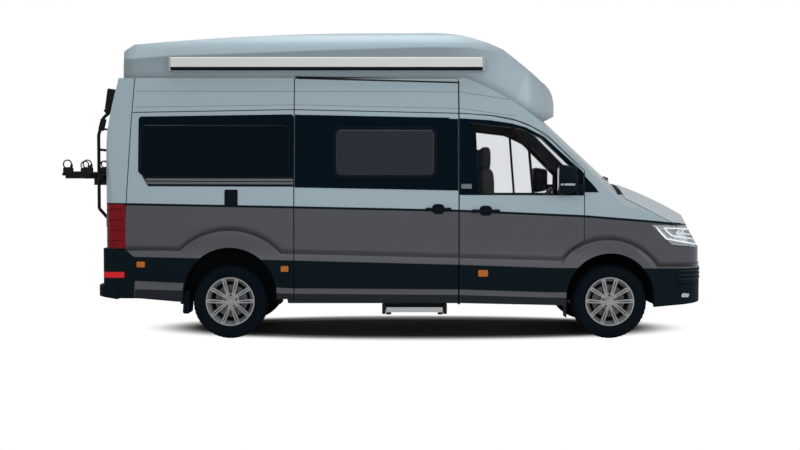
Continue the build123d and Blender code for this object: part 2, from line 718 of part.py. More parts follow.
with BuildPart() as mud_flaps:
    for side in (-1, 1):
        rear_flap_x = rear_axle_x - rear_arch_radius
        front_flap_x = front_axle_x - front_arch_radius
        add(block(rear_flap_x, rear_flap_x + 12.0, side * 760.0, side * 945.0, 245.0, rear_arch_z))
        add(block(front_flap_x, front_flap_x + 10.0, side * 760.0, side * 945.0, 203.0, front_arch_z))

# ---------------------------------------------------------------- cab and running gear
# rear and front ends from the door's rear edge, inset from the seat's sides, heights above the floor, rounding
seat_rows = [
    (330.0, 830.0, 40.0, 0.0, 330.0, 0.0),        # base
    (300.0, 860.0, 0.0, 320.0, 470.0, 40.0),      # cushion
    (220.0, 370.0, 0.0, 380.0, 1080.0, 45.0),     # back
    (235.0, 340.0, 120.0, 1060.0, 1290.0, 35.0),  # headrest
]
with BuildPart() as cab_seats:
    for side in (-1, 1):
        y0, y1 = sorted((side * 190.0, side * 700.0))
        for rear, front, inset, low, high, soft in seat_rows:
            add(block(b_line_x + rear, b_line_x + front, y0 + inset, y1 - inset, floor_top + low, floor_top + high, soft))

with BuildPart() as dashboard:
    add(block(firewall_x - 380.0, firewall_x + 60, -860.0, 860.0, 1000.0, 1290.0, 60.0))
    add(cabin_cut & deep_form, mode=Mode.INTERSECT)

wheel_tilt = 28.0                # of the steering column, up from level
column = Plane(origin=(firewall_x - 545.0, 445.0, 1270.0),
               z_dir=(-cos(radians(wheel_tilt)), 0, sin(radians(wheel_tilt))))
with BuildPart() as steering_wheel:
    with Locations(column):
        Torus(185.0, 16.0)
        Cylinder(60.0, 40.0)
        Box(360.0, 40.0, 22.0)
        Cylinder(30.0, 260.0, align=(Align.CENTER, Align.CENTER, Align.MAX))
    add(dashboard.part, mode=Mode.SUBTRACT)

with BuildPart() as engine_block:
    add(block(firewall_x + 130.0, nose_x - 330.0, -380.0, 380.0, 330.0, 1000.0))

arm_top = 262.0
hub_face = 2.0                  # wheel hub's back face, out from the tyre's middle plane
hub_face_half = track / 2 + hub_face
frame_low = 250.0
floor_low = floor_top - floor_plate
with BuildPart() as front_subframe:
    add(block(front_axle_x - 160.0, front_axle_x + 260.0, -430.0, 430.0, frame_low, 330.0))
    for side in (-1, 1):
        y0, y1 = sorted((side * 420.0, side * 790.0))
        add(block(front_axle_x - 40.0, front_axle_x + 40.0, y0, y1, arm_top - 40.0, arm_top))
        y0, y1 = sorted((side * 380.0, side * 430.0))
        add(block(front_axle_x - 160.0, front_axle_x - 100.0, y0, y1, frame_low, floor_low))
        add(block(front_axle_x + 200.0, front_axle_x + 260.0, y0, y1, frame_low, 400.0))

with BuildPart() as rear_axle:
    add(bar_y(rear_axle_x, tyre_radius - 60.0, 45.0, -700.0, 700.0))
    for side in (-1, 1):
        add(bar_y(rear_axle_x, tyre_radius, 75.0, *sorted((side * 640.0, side * (hub_face_half - seat)))))
        add(block(rear_axle_x - 40.0, rear_axle_x + 40.0, side * 640.0, side * 700.0, 250.0, 420.0))
        add(block(rear_axle_x - 600.0, rear_axle_x + 600.0, side * 560.0, side * 630.0, 352.0, 372.0))
        add(block(rear_axle_x - 60.0, rear_axle_x + 60.0, side * 555.0, side * 635.0, 300.0, 372.0))
        for end in (-1, 1):
            add(block(rear_axle_x + end * 600.0, rear_axle_x + end * 560.0, side * 560.0, side * 630.0, 352.0,
                      floor_top - floor_plate))

with BuildPart() as knuckle_left:
    add(block(front_axle_x - 45.0, front_axle_x + 45.0, kingpin_half - 45.0, kingpin_half + 7.0, arm_top + seat, 470.0))
    add(bar_y(front_axle_x, tyre_radius, 75.0, 790.0, hub_face_half - seat))
    add(block(front_axle_x - 170.0, front_axle_x - 40.0, 776.0, 800.0, 330.0, 360.0))

with BuildPart() as knuckle_right:
    mirror(knuckle_left.part, about=Plane.XZ)

# ---------------------------------------------------------------- wheels
# radius from the wheel's centre, distance out from the tyre's middle plane
barrel_rows = [
    ("to", 213.0, -105.0),
    ("to", rim_radius, -105.0),
    ("to", rim_radius, -92.0),
    ("to", 216.0, -84.0),
    ("to", 200.0, -20.0),
    ("to", 200.0, 60.0),
    ("to", 216.0, 84.0),
    ("to", rim_radius, 92.0),
    ("to", rim_radius, 105.0),
    ("to", 222.0, 106.0),
    ("to", 192.0, 60.0),
    ("to", 192.0, -20.0),
]
hub_rows = [
    ("to", 0.0, hub_face),
    ("to", 78.0, hub_face),
    ("to", 84.0, 50.0),
    ("to", 66.0, 66.0),
    ("to", 33.0, 72.0),
    ("to", 31.0, 80.0),
    ("to", 0.0, 82.0),
]
spoke_rows = [                   # the dished space that the spokes fill
    ("to", 50.0, 34.0),
    ("to", 60.0, 70.0),
    ("via", 135.0, 82.0),
    ("to", 221.0, 104.0),
    ("to", 196.0, 60.0),
    ("via", 130.0, 46.0),
]
groove_rows = [                  # a slot cut down the middle of each spoke
    ("to", 88.0, 66.0),
    ("via", 142.0, 71.0),
    ("to", 206.0, 84.0),
    ("to", 206.0, 130.0),
    ("to", 88.0, 130.0),
]
spoke_pairs = 5
spoke_splay = 19.5               # half the angle between the two spokes of a pair, at the rim
spoke_root = 11.0                # the same at the hub
spoke_half_root = 15.0
spoke_half_tip = 20.0
groove_half = 5.0
lug_circle = 57.0
tyre_rows = [
    ("to", rim_radius, -92.0),
    ("to", 290.0, -117.5),
    ("to", 338.0, -102.0),
    ("to", tyre_radius, -70.0),
    ("to", tyre_radius, 70.0),
    ("to", 338.0, 102.0),
    ("to", 290.0, 117.5),
    ("to", rim_radius, 92.0),
]


def wheel_turn(rows):
    """Turn a (radius, outward) table about a wheel axle lying on Z."""
    with BuildPart() as turned:
        revolve(face_of(Plane.XZ, rows), axis=Axis.Z)
    return turned.part


def spoke_bar(lean, root_half, tip_half):
    """Tapered bar from hub to barrel, leaning from a pair's root to its tip."""
    start = (60.0 * cos(radians(90 + lean * spoke_root)), 60.0 * sin(radians(90 + lean * spoke_root)))
    end = (222.0 * cos(radians(90 + lean * spoke_splay)), 222.0 * sin(radians(90 + lean * spoke_splay)))
    length = hypot(end[0] - start[0], end[1] - start[1])
    across = ((end[1] - start[1]) / length, -(end[0] - start[0]) / length)
    rows = [
        ("to", start[0] - across[0] * root_half, start[1] - across[1] * root_half),
        ("to", start[0] + across[0] * root_half, start[1] + across[1] * root_half),
        ("to", end[0] + across[0] * tip_half, end[1] + across[1] * tip_half),
        ("to", end[0] - across[0] * tip_half, end[1] - across[1] * tip_half),
    ]
    with BuildPart() as bar:
        extrude(face_of(Plane.XY, rows), amount=150.0, dir=(0, 0, 1))
    return bar.part


spoke_space = wheel_turn(spoke_rows)
groove_space = wheel_turn(groove_rows)
spoke_pair = (spoke_bar(-1, spoke_half_root, spoke_half_tip) & spoke_space) + (
    spoke_bar(1, spoke_half_root, spoke_half_tip) & spoke_space
)
for lean in (-1, 1):
    spoke_pair = spoke_pair - (spoke_bar(lean, groove_half, groove_half) & groove_space)
barrel = wheel_turn(barrel_rows)
hub = wheel_turn(hub_rows)

with BuildPart() as rim:
    add(barrel)
    add(hub)
    with PolarLocations(0, spoke_pairs):
        add(spoke_pair)
    with PolarLocations(lug_circle, spoke_pairs, start_angle=90 + 180 / spoke_pairs):
        with Locations((0, 0, 52.0)):
            Cylinder(11.0, 60.0, align=(Align.CENTER, Align.CENTER, Align.MIN), mode=Mode.SUBTRACT)

with BuildPart() as tyre:
    add(wheel_turn(tyre_rows))

# ---------------------------------------------------------------- carrier and step
tube = 16.0
frame_x = rear_face_x - 112.0
fold_x = frame_x - 62.0
fold_z = 1560.0
arm_half = 15.0
fold_lip = 9.0                   # bracket round the pivot, inside the rails' swing
arm_stations = (-620.0, -280.0)
foot_in = rear_face_x + 12.0             # inside the door's skin; the skin is cut away below
with BuildPart() as carrier_frame:
    for y in (-700.0, -200.0):
        with BuildLine() as upright:
            FilletPolyline(
                (foot_in + 48.0, y, 1050.0),
                (frame_x, y, 1245.0),
                (frame_x, y, 1960.0),
                (frame_x + 50.0, y, 2130.0),
                (foot_in + 100.0, y, 2285.0),
                radius=40.0,
            )
        with BuildSketch(Plane(origin=upright.line @ 0, z_dir=upright.line % 0)):
            Circle(tube)
        sweep(path=upright.line)
    for z in (1486.0, 1820.0):
        add(bar_y(frame_x, z, tube - 3.0, -700.0, -200.0))
    for y in arm_stations:
        inner_y = y + arm_half + seat
        add(block(fold_x - fold_lip, frame_x + 10.0, inner_y, inner_y + 20.0, 1474.0, fold_z + fold_lip))
    add(skin, mode=Mode.SUBTRACT)

rail_width = 62.0
with BuildPart() as carrier_platform:
    for y in arm_stations:
        with Locations(((tail_x + 30.0 + fold_x + arm_half) / 2, y, fold_z)):
            Box(fold_x + arm_half - tail_x - 30.0, 2 * arm_half, 2 * arm_half)
    for x in (tail_x, tail_x + 195.0):
        add(block(x, x + rail_width, -785.0, -60.0, fold_z + 5.0, fold_z + 34.0, 6.0))
        channel = block(x + 12.0, x + rail_width - 12.0, -wide, 0, fold_z + 16.0, fold_z + 60.0)
        add(channel, mode=Mode.SUBTRACT)

step_reach = -1000.0
step_plate_z = 303.0
step_rear_x = b_line_x - 733.0
step_front_x = b_line_x - 112.0
with BuildPart() as step_housing:
    add(block(step_rear_x, step_front_x, -900.0, -420.0, step_plate_z, 335.0))
    for x in (step_rear_x, step_front_x - 33.0):
        add(block(x, x + 33.0, -985.0, -420.0, 240.0, 335.0))
        add(block(x, x + 33.0, -900.0, -430.0, 330.0, floor_top - floor_plate))
    add(floor_pan.part, mode=Mode.SUBTRACT)
    add(side_wall_right.part, mode=Mode.SUBTRACT)

with BuildPart() as entry_step:
    add(block(step_rear_x + 43.0, step_front_x - 43.0, step_reach, -740.0, 258.0, 290.0))
    for x in (step_rear_x + 80.0, step_front_x - 120.0):
        add(block(x, x + 40.0, -745.0, -440.0, 262.0, step_plate_z - seat))

# ---------------------------------------------------------------- write every piece
pieces = {
    "rear_frame": rear_frame,
    "tail_lamps": tail_lamps,
    "side_windows": side_windows,
    "side_wall_left": side_wall_left,
    "side_wall_right": side_wall_right,
    "sliding_door": sliding_door,
    "cab_shell": cab_shell,
    "cowl_panel": cowl_panel,
    "windscreen": windscreen,
    "front_wings": front_wings,
    "headlamps": headlamps,
    "front_bumper": front_bumper,
    "bumper_apron": bumper_apron,
    "grille": grille,
    "grille_bars": grille_bars,
    "bonnet": bonnet,
    "high_roof": high_roof,
    "cab_door_left": cab_door_left,
    "cab_door_right": cab_door_right,
    "cab_glass_left": cab_glass_left,
    "cab_glass_right": cab_glass_right,
    "mirror_left": mirror_left,
    "mirror_right": mirror_right,
    "rear_door_left": rear_door_left,
    "rear_door_right": rear_door_right,
    "rear_glass_left": rear_glass_left,
    "rear_glass_right": rear_glass_right,
    "floor_pan": floor_pan,
    "wheel_housings": wheel_housings,
    "rear_bumper": rear_bumper,
    "awning_case": awning_case,
    "mud_flaps": mud_flaps,
    "cab_seats": cab_seats,
    "dashboard": dashboard,
    "steering_wheel": steering_wheel,
    "engine_block": engine_block,
    "front_subframe": front_subframe,
    "rear_axle": rear_axle,
    "knuckle_left": knuckle_left,
    "knuckle_right": knuckle_right,
    "carrier_frame": carrier_frame,
    "carrier_platform": carrier_platform,
    "step_housing": step_housing,
    "entry_step": entry_step,
}
for name, builder in pieces.items():
    save(builder, name)

for place, x, side in (
    ("front_left", front_axle_x, 1),
    ("front_right", front_axle_x, -1),
    ("rear_left", rear_axle_x, 1),
    ("rear_right", rear_axle_x, -1),
):
    seat_plane = Plane(origin=(x, side * track / 2, tyre_radius), x_dir=(side, 0, 0), z_dir=(0, side, 0))
    for kind, source in (("rim", rim), ("tyre", tyre)):
        with BuildPart() as wheel_piece:
            add(seat_plane * source.part)
        save(wheel_piece, f"{kind}_{place}")
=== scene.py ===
from math import cos, hypot, pi, radians, sin, tan

import bmesh
import bpy
from mathutils import Euler, Matrix, Vector
from mathutils.bvhtree import BVHTree


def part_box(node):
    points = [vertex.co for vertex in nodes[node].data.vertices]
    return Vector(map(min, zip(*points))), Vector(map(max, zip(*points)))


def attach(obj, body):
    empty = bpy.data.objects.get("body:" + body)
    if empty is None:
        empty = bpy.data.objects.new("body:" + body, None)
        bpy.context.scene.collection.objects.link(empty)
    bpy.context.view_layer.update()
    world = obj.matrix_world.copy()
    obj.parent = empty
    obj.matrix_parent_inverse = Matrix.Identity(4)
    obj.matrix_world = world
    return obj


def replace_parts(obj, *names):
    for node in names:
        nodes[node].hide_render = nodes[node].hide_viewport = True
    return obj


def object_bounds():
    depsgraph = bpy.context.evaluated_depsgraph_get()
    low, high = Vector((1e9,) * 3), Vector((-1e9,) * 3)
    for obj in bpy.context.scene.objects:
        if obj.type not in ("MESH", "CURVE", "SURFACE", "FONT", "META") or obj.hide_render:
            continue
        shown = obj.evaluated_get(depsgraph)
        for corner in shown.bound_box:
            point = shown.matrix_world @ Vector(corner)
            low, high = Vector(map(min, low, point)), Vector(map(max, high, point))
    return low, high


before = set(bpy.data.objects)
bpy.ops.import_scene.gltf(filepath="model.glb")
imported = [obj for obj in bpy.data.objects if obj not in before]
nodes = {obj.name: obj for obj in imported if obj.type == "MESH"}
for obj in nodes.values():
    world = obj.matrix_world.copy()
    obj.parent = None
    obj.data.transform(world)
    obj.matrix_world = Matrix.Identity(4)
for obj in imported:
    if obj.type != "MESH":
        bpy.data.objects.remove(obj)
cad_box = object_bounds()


# ---------------------------------------------------------------- studio
# A pale seamless floor under broad soft boxes, with the vehicle's shadow painted dark into the floor under
# it, and the camera level with the cab windows, well off to the vehicle's right side.
def join(tree, *pairs):
    """Link outputs to inputs, pair by pair."""
    for start, end in pairs:
        tree.links.new(start, end)


def oval_reach(tree, place, location, scale):
    """Distance over the floor from the middle of an oval, in shares of its half lengths."""
    mapping = tree.nodes.new("ShaderNodeMapping")
    mapping.inputs["Location"].default_value = location
    mapping.inputs["Scale"].default_value = scale
    reach = tree.nodes.new("ShaderNodeVectorMath")
    reach.operation = "LENGTH"
    join(tree, (place, mapping.inputs["Vector"]), (mapping.outputs[0], reach.inputs[0]))
    return reach.outputs["Value"]


def backdrop_rays(tree):
    """1 for rays from the camera or through glass, which see the plain white backdrop."""
    ray = tree.nodes.new("ShaderNodeLightPath")
    seen = tree.nodes.new("ShaderNodeMath")
    seen.operation = "MAXIMUM"
    join(
        tree,
        (ray.outputs["Is Camera Ray"], seen.inputs[0]),
        (ray.outputs["Is Transmission Ray"], seen.inputs[1]),
    )
    return seen.outputs[0]


def ramp(tree, value, stops, interpolation="LINEAR"):
    """Colour ramp over a value, with stops of (place, grey level or colour)."""
    made = tree.nodes.new("ShaderNodeValToRGB")
    made.color_ramp.interpolation = interpolation
    elements = made.color_ramp.elements
    while len(elements) < len(stops):
        elements.new(0.5)
    for element, (place, colour) in zip(elements, stops):
        element.position = place
        element.color = (*colour, 1) if isinstance(colour, tuple) else (colour, colour, colour, 1)
    tree.links.new(value, made.inputs[0])
    return made.outputs[0]


floor_half_size = 60
# near black painted into the floor as the vehicle's shadow, and the open floor's own pale colour
painted_shadow_dark, open_floor = (0.035, 0.035, 0.045), (0.86, 0.86, 0.87)
# location and scale that turn the floor's plan into the oval of painted shadow and the glow round it
painted_shadow_oval = ((-0.12, 0.06, 0.0), (0.345, 1.04, 1.0))
glow_oval = ((-0.09, 0.0, 0.0), (0.30, 0.72, 1.0))
glow_from, glow_full = 0.66, 0.86
pale = bpy.data.materials.new("studio_floor")
pale.use_nodes = True
floor_tree = pale.node_tree
floor_shader = floor_tree.nodes["Principled BSDF"]
floor_shader.inputs["Roughness"].default_value = 0.9
floor_shader.inputs["Specular IOR Level"].default_value = 0.1
far_glow = floor_tree.nodes.new("ShaderNodeEmission")
far_glow.inputs["Strength"].default_value = 1.0
floor_place = floor_tree.nodes.new("ShaderNodeTexCoord").outputs["Object"]
ease = floor_tree.nodes.new("ShaderNodeMapRange")
ease.interpolation_type = "SMOOTHSTEP"
ease.inputs["From Min"].default_value = glow_from
ease.inputs["From Max"].default_value = glow_full
both = floor_tree.nodes.new("ShaderNodeMath")
both.operation = "MULTIPLY"
floor_mix = floor_tree.nodes.new("ShaderNodeMixShader")
# floor colour: painted shadow inside the oval under the vehicle, pale floor outside it
painted_shadow_reach = oval_reach(floor_tree, floor_place, *painted_shadow_oval)
floor_colour = ramp(floor_tree, painted_shadow_reach, ((0.68, painted_shadow_dark), (1.0, open_floor)), "EASE")
join(
    floor_tree,
    (oval_reach(floor_tree, floor_place, *glow_oval), ease.inputs["Value"]),
    (ease.outputs[0], both.inputs[0]),
    (backdrop_rays(floor_tree), both.inputs[1]),
    (both.outputs[0], floor_mix.inputs[0]),
    (floor_shader.outputs[0], floor_mix.inputs[1]),
    (far_glow.outputs[0], floor_mix.inputs[2]),
    (floor_mix.outputs[0], floor_tree.nodes["Material Output"].inputs[0]),
    (floor_colour, floor_shader.inputs["Base Color"]),
)
floor_bm = bmesh.new()
bmesh.ops.create_grid(floor_bm, x_segments=1, y_segments=1, size=floor_half_size)
floor_mesh = bpy.data.meshes.new("floor")
floor_bm.to_mesh(floor_mesh)
floor_bm.free()
floor = bpy.data.objects.new("floor", floor_mesh)
floor.data.materials.append(pale)
bpy.context.scene.collection.objects.link(floor)

world = bpy.data.worlds.new("studio")
bpy.context.scene.world = world
world.use_nodes = True
sky = world.node_tree.nodes["Background"]
sky.inputs["Strength"].default_value = 0.5
sky.inputs["Color"].default_value = (1, 1, 1, 1)
white = world.node_tree.nodes.new("ShaderNodeBackground")
white.inputs["Color"].default_value = (1, 1, 1, 1)
swap = world.node_tree.nodes.new("ShaderNodeMixShader")
join(
    world.node_tree,
    (backdrop_rays(world.node_tree), swap.inputs[0]),
    (sky.outputs[0], swap.inputs[1]),
    (white.outputs[0], swap.inputs[2]),
    (swap.outputs[0], world.node_tree.nodes["World Output"].inputs[0]),
)

# name, place, turn, size and power of each soft box
for name, place, turn, size, power in (
    ("top_box", (0.0, -1.0, 7.5), (0, 0, 0), (9.0, 5.0), 270.0),
    ("side_box", (1.0, -9.5, 3.4), (radians(76), 0, 0), (11.0, 3.0), 335.0),
    ("nose_box", (8.5, -4.0, 4.0), (radians(60), 0, radians(62)), (5.0, 4.0), 110.0),
):
    lamp = bpy.data.lights.new(name, "AREA")
    lamp.shape = "RECTANGLE"
    lamp.size, lamp.size_y = size
    lamp.energy = power
    lamp_object = bpy.data.objects.new(name, lamp)
    lamp_object.location = place
    lamp_object.rotation_euler = turn
    lamp_object.visible_glossy = name != "side_box"
    bpy.context.scene.collection.objects.link(lamp_object)

look_down = 2.0
view = bpy.data.cameras.new("view")
view.lens = 55.0
view.sensor_width = 36.0
view.clip_end = 200
camera = bpy.data.objects.new("view", view)
camera.location = (0.133, -12.65, 1.5)
camera.rotation_euler = (radians(90 - look_down), 0, 0)
bpy.context.scene.collection.objects.link(camera)
bpy.context.scene.camera = camera
bpy.context.scene.view_settings.view_transform = "Standard"

# ---------------------------------------------------------------- painted steel body
# Pressed steel panels in two-tone enamel: silver-blue above a thin black belt strip, dark grey below it down
# to black grained cladding, with grey sill trim. Painted into the colour are shade above each crease and a
# highlight below it, a highlight on the sill's upper band and shade on its foot, near black shade on the
# faces that look into the cabin, and a lighter bonnet for the light on its top.
silver_blue = (0.30, 0.38, 0.425)
# the upper paint made lighter for the bonnet, as painted light on its upward face
bonnet_lit_silver = (0.40, 0.49, 0.54)
dark_grey = (0.062, 0.066, 0.077)
cladding_black = (0.0012, 0.0058, 0.0090)
# sill trim: a lighter upper band as painted highlight, and a near black foot as painted shade
sill_highlight_grey = (0.085, 0.088, 0.097)
sill_shade_dark = (0.014, 0.018, 0.023)
seam_dark = (0.006, 0.008, 0.009)
# near black painted on faces that look into the cabin, as the shade inside it
inside_shade_dark = (0.012, 0.013, 0.015)
tail_end, nose_end = -3.2, 3.2  # stations just past the vehicle's ends
unseen = 0.2  # height below the body, where a line drops out of sight
# station along the vehicle and height of each line there, in metres
belt_line = (
    (tail_end, 1.300), (-2.45, 1.291), (-0.88, 1.262), (0.694, 1.229), (1.891, 1.177), (2.49, 1.129),
    (nose_end, 1.06),
)
crease_line = (
    (tail_end, 0.848), (-2.05, 0.846), (-0.94, 0.8166), (0.694, 0.776), (1.70, 0.7497), (2.60, 0.6876),
    (nose_end, 0.6876),
)
clad_top = (
    (tail_end, 0.877), (-2.50, 0.877), (-2.41, 0.790), (-0.88, 0.754), (0.694, 0.714), (1.58, 0.684),
    (nose_end, 0.673),
)
clad_bottom = (
    (tail_end, 0.0), (-2.42, 0.0), (-2.41, 0.560), (-0.88, 0.488), (0.694, 0.478), (1.58, 0.450),
    (nose_end, 0.448),
)
# line where the sill's painted highlight gives way to its painted shade
sill_split = (
    (tail_end, 0.0), (-2.42, 0.0), (-2.41, 0.480), (-0.88, 0.436), (0.694, 0.424), (1.58, 0.398),
    (nose_end, 0.390),
)
strip_half = 0.011
# lines pressed or cut into the steel: their heights by station, and half their width
seam_lines = (
    (((tail_end, unseen), (-2.43, unseen), (-2.4285, 2.168), (-0.8897, 2.195), (0.7543, 2.1586),
      (1.0095, 2.1375), (1.2484, 2.0897), (1.4042, 2.0257), (1.5667, 1.9158), (1.7263, 1.7628),
      (1.885, 1.590), (1.90, unseen), (nose_end, unseen)), 0.0045),
    (((tail_end, unseen), (-0.874, unseen), (-0.872, 2.500), (0.700, 2.457), (0.702, unseen),
      (nose_end, unseen)), 0.0085),
    (((tail_end, unseen), (-2.42, unseen), (-2.418, 2.374), (-0.8785, 2.372), (0.707, 2.366), (1.20, 2.29),
      (1.21, unseen), (nose_end, unseen)), 0.0016),
    (((tail_end, unseen), (-2.42, unseen), (-2.418, 2.218), (-0.8785, 2.242), (0.707, 2.206), (1.26, 2.13),
      (1.27, unseen), (nose_end, unseen)), 0.0014),
)
# cuts that stand: station at the foot, lean, foot, head
upright_seams = (
    (-0.8785, 0.0, 0.440, 2.50),
    (0.6985, 0.0, 0.420, 2.47),
    (1.8915, 0.0, 0.940, 1.60),
    (-2.500, 0.0534, 0.880, 2.51),
)
upright_half = 0.0042
# three points of the crease over each wheel
arch_creases = (
    ((-1.960, 0.846), (-1.4775, 1.036), (-1.009, 0.8185)),
    ((1.686, 0.7497), (2.150, 0.946), (2.594, 0.6876)),
)
# painted shade and highlight, and the pressed form, across a crease: place in a band centred on it, and level
crease_painted_shade = (
    (0.04, 0.8), (0.17, 0.50), (0.34, 0.22), (0.47, 0.20), (0.53, 1.0), (0.68, 0.92), (0.95, 0.82),
)
crease_relief = ((0.32, 0.8), (0.46, 0.05), (0.54, 0.0), (0.74, 1.0))
shade_bands, relief_bands = 8.0, 6.0  # how many such bands go to a metre
crease_depth = 0.022
shade_gain = 1.25  # what a painted shade level of 0.8 needs to leave a colour as it is
gloss_roughness, matt_roughness, lacquer = 0.28, 0.60, 0.7
cabin_middle = (0.0, 0.0, 1.35)


def node_group(name, inputs, outputs):
    """Shader node group with named sockets, and its entry and exit nodes."""
    group = bpy.data.node_groups.new(name, "ShaderNodeTree")
    for direction, sockets in (("INPUT", inputs), ("OUTPUT", outputs)):
        for label, kind in sockets:
            group.interface.new_socket(name=label, in_out=direction, socket_type="NodeSocket" + kind)
    return group, group.nodes.new("NodeGroupInput"), group.nodes.new("NodeGroupOutput")


def node(tree, kind, **values):
    """New node with some of its settings."""
    made = tree.nodes.new(kind)
    for key, value in values.items():
        setattr(made, key, value)
    return made


def maths(tree, operation, *inputs):
    """Math node whose inputs are numbers or sockets; returns its output."""
    made = node(tree, "ShaderNodeMath", operation=operation)
    for place, value in enumerate(inputs):
        if isinstance(value, (int, float)):
            made.inputs[place].default_value = value
        else:
            tree.links.new(value, made.inputs[place])
    return made.outputs[0]


def height_at(tree, x, rows):
    """Height of a line of straight runs at station x."""
    curve = node(tree, "ShaderNodeFloatCurve")
    low, high = rows[0][0], rows[-1][0]
    points = curve.mapping.curves[0].points
    curve.mapping.use_clip = False
    while len(points) < len(rows):
        points.new(0.5, 0.5)
    for point, (station, height) in zip(points, rows):
        point.location = ((station - low) / (high - low), height / 2)
        point.handle_type = "VECTOR"
    curve.mapping.update()
    along = maths(tree, "DIVIDE", maths(tree, "SUBTRACT", x, low), high - low)
    tree.links.new(along, curve.inputs["Value"])
    return maths(tree, "MULTIPLY", curve.outputs[0], 2.0)


def below(tree, depth, soft=0.0015):
    """Mask that is 1 where depth is above zero."""
    held = maths(tree, "MAXIMUM", maths(tree, "MINIMUM", depth, soft), -soft)
    return maths(tree, "MULTIPLY_ADD", held, 0.5 / soft, 0.5)


def mixed(tree, mask, first, second):
    """Colour or value mix: first where mask is 0, second where it is 1."""
    made = node(tree, "ShaderNodeMix", data_type="RGBA")
    tree.links.new(mask, made.inputs["Factor"])
    for place, value in ((6, first), (7, second)):
        if isinstance(value, tuple):
            made.inputs[place].default_value = (*value, 1)
        else:
            tree.links.new(value, made.inputs[place])
    return made.outputs[2]


def toned(tree, colour, level):
    """Colour made lighter or darker by a level."""
    made = node(tree, "ShaderNodeMix", data_type="RGBA", blend_type="MULTIPLY")
    made.inputs["Factor"].default_value = 1.0
    join(tree, (colour, made.inputs[6]), (level, made.inputs[7]))
    return made.outputs[2]


def circle_through(a, b, c):
    """Centre and radius of the circle through three points."""
    d = 2 * (a[0] * (b[1] - c[1]) + b[0] * (c[1] - a[1]) + c[0] * (a[1] - b[1]))
    squares = [p[0] ** 2 + p[1] ** 2 for p in (a, b, c)]
    u = (squares[0] * (b[1] - c[1]) + squares[1] * (c[1] - a[1]) + squares[2] * (a[1] - b[1])) / d
    v = (squares[0] * (c[0] - b[0]) + squares[1] * (a[0] - c[0]) + squares[2] * (b[0] - a[0])) / d
    return u, v, hypot(a[0] - u, a[1] - v)


def facing_in(tree, entry):
    """Mask of the faces that look towards the middle of the cabin."""
    away = node(tree, "ShaderNodeVectorMath", operation="SUBTRACT")
    away.inputs[1].default_value = cabin_middle
    along = node(tree, "ShaderNodeVectorMath", operation="DOT_PRODUCT")
    join(
        tree,
        (entry.outputs["Place"], away.inputs[0]),
        (away.outputs[0], along.inputs[0]),
        (entry.outputs["Facing"], along.inputs[1]),
    )
    return below(tree, maths(tree, "MULTIPLY", along.outputs["Value"], -1.0), 0.02)


# two-tone paint, belt strip, cladding and dark seams, with painted shade and highlight at the creases and the
# sill, and painted shade on faces looking into the cabin
livery_and_shade, entry, leave = node_group(
    "two_tone_paint_and_painted_shade",
    (("Place", "Vector"), ("Facing", "Vector"), ("Upper", "Color"), ("Lower", "Color")),
    (("Color", "Color"), ("Gloss", "Float"), ("Lacquer", "Float"), ("Height", "Float")),
)
apart = node(livery_and_shade, "ShaderNodeSeparateXYZ")
livery_and_shade.links.new(entry.outputs["Place"], apart.inputs[0])
x_place, z_place = apart.outputs[0], apart.outputs[2]


def depth_under(rows):
    """Depth below one of the lines drawn on the body."""
    return maths(livery_and_shade, "SUBTRACT", height_at(livery_and_shade, x_place, rows), z_place)


under_belt = depth_under(belt_line)
under_crease = depth_under(crease_line)
for arch in arch_creases:
    centre_x, centre_z, radius = circle_through(*arch)
    run = maths(livery_and_shade, "SUBTRACT", x_place, centre_x)
    rise = maths(livery_and_shade, "SUBTRACT", z_place, centre_z)
    squared = maths(livery_and_shade, "ADD", maths(livery_and_shade, "MULTIPLY", run, run), maths(livery_and_shade, "MULTIPLY", rise, rise))
    inside = maths(livery_and_shade, "SUBTRACT", radius, maths(livery_and_shade, "SQRT", squared))
    under_crease = maths(livery_and_shade, "MAXIMUM", under_crease, inside)
in_clad = below(livery_and_shade, depth_under(clad_top))
in_sill = below(livery_and_shade, depth_under(clad_bottom))
in_sill_shade = below(livery_and_shade, depth_under(sill_split))
in_strip = below(livery_and_shade, maths(livery_and_shade, "SUBTRACT", strip_half, maths(livery_and_shade, "ABSOLUTE", under_belt)))
colour = mixed(livery_and_shade, below(livery_and_shade, under_belt), entry.outputs["Upper"], entry.outputs["Lower"])
for mask, paint in (
    (in_strip, cladding_black), (in_clad, cladding_black), (in_sill, sill_highlight_grey), (in_sill_shade, sill_shade_dark),
):
    colour = mixed(livery_and_shade, mask, colour, paint)
seams = None
for rows, half in seam_lines:
    off = maths(livery_and_shade, "ABSOLUTE", depth_under(rows))
    seam = below(livery_and_shade, maths(livery_and_shade, "SUBTRACT", half, off))
    seams = seam if seams is None else maths(livery_and_shade, "MAXIMUM", seams, seam)
for station, lean, low, high in upright_seams:
    above_foot = maths(livery_and_shade, "SUBTRACT", z_place, low)
    along = maths(livery_and_shade, "MULTIPLY_ADD", above_foot, lean, station)
    off = maths(livery_and_shade, "ABSOLUTE", maths(livery_and_shade, "SUBTRACT", x_place, along))
    between = maths(livery_and_shade, "MINIMUM", above_foot, maths(livery_and_shade, "SUBTRACT", high, z_place))
    seam = below(livery_and_shade, maths(livery_and_shade, "MINIMUM", maths(livery_and_shade, "SUBTRACT", upright_half, off), between))
    seams = maths(livery_and_shade, "MAXIMUM", seams, seam)
# painted shade above each crease and painted highlight below it, multiplied into the colour
crease_shade = ramp(livery_and_shade, maths(livery_and_shade, "MULTIPLY_ADD", under_crease, shade_bands, 0.5), crease_painted_shade)
colour = mixed(livery_and_shade, seams, toned(livery_and_shade, colour, maths(livery_and_shade, "MULTIPLY", crease_shade, shade_gain)), seam_dark)
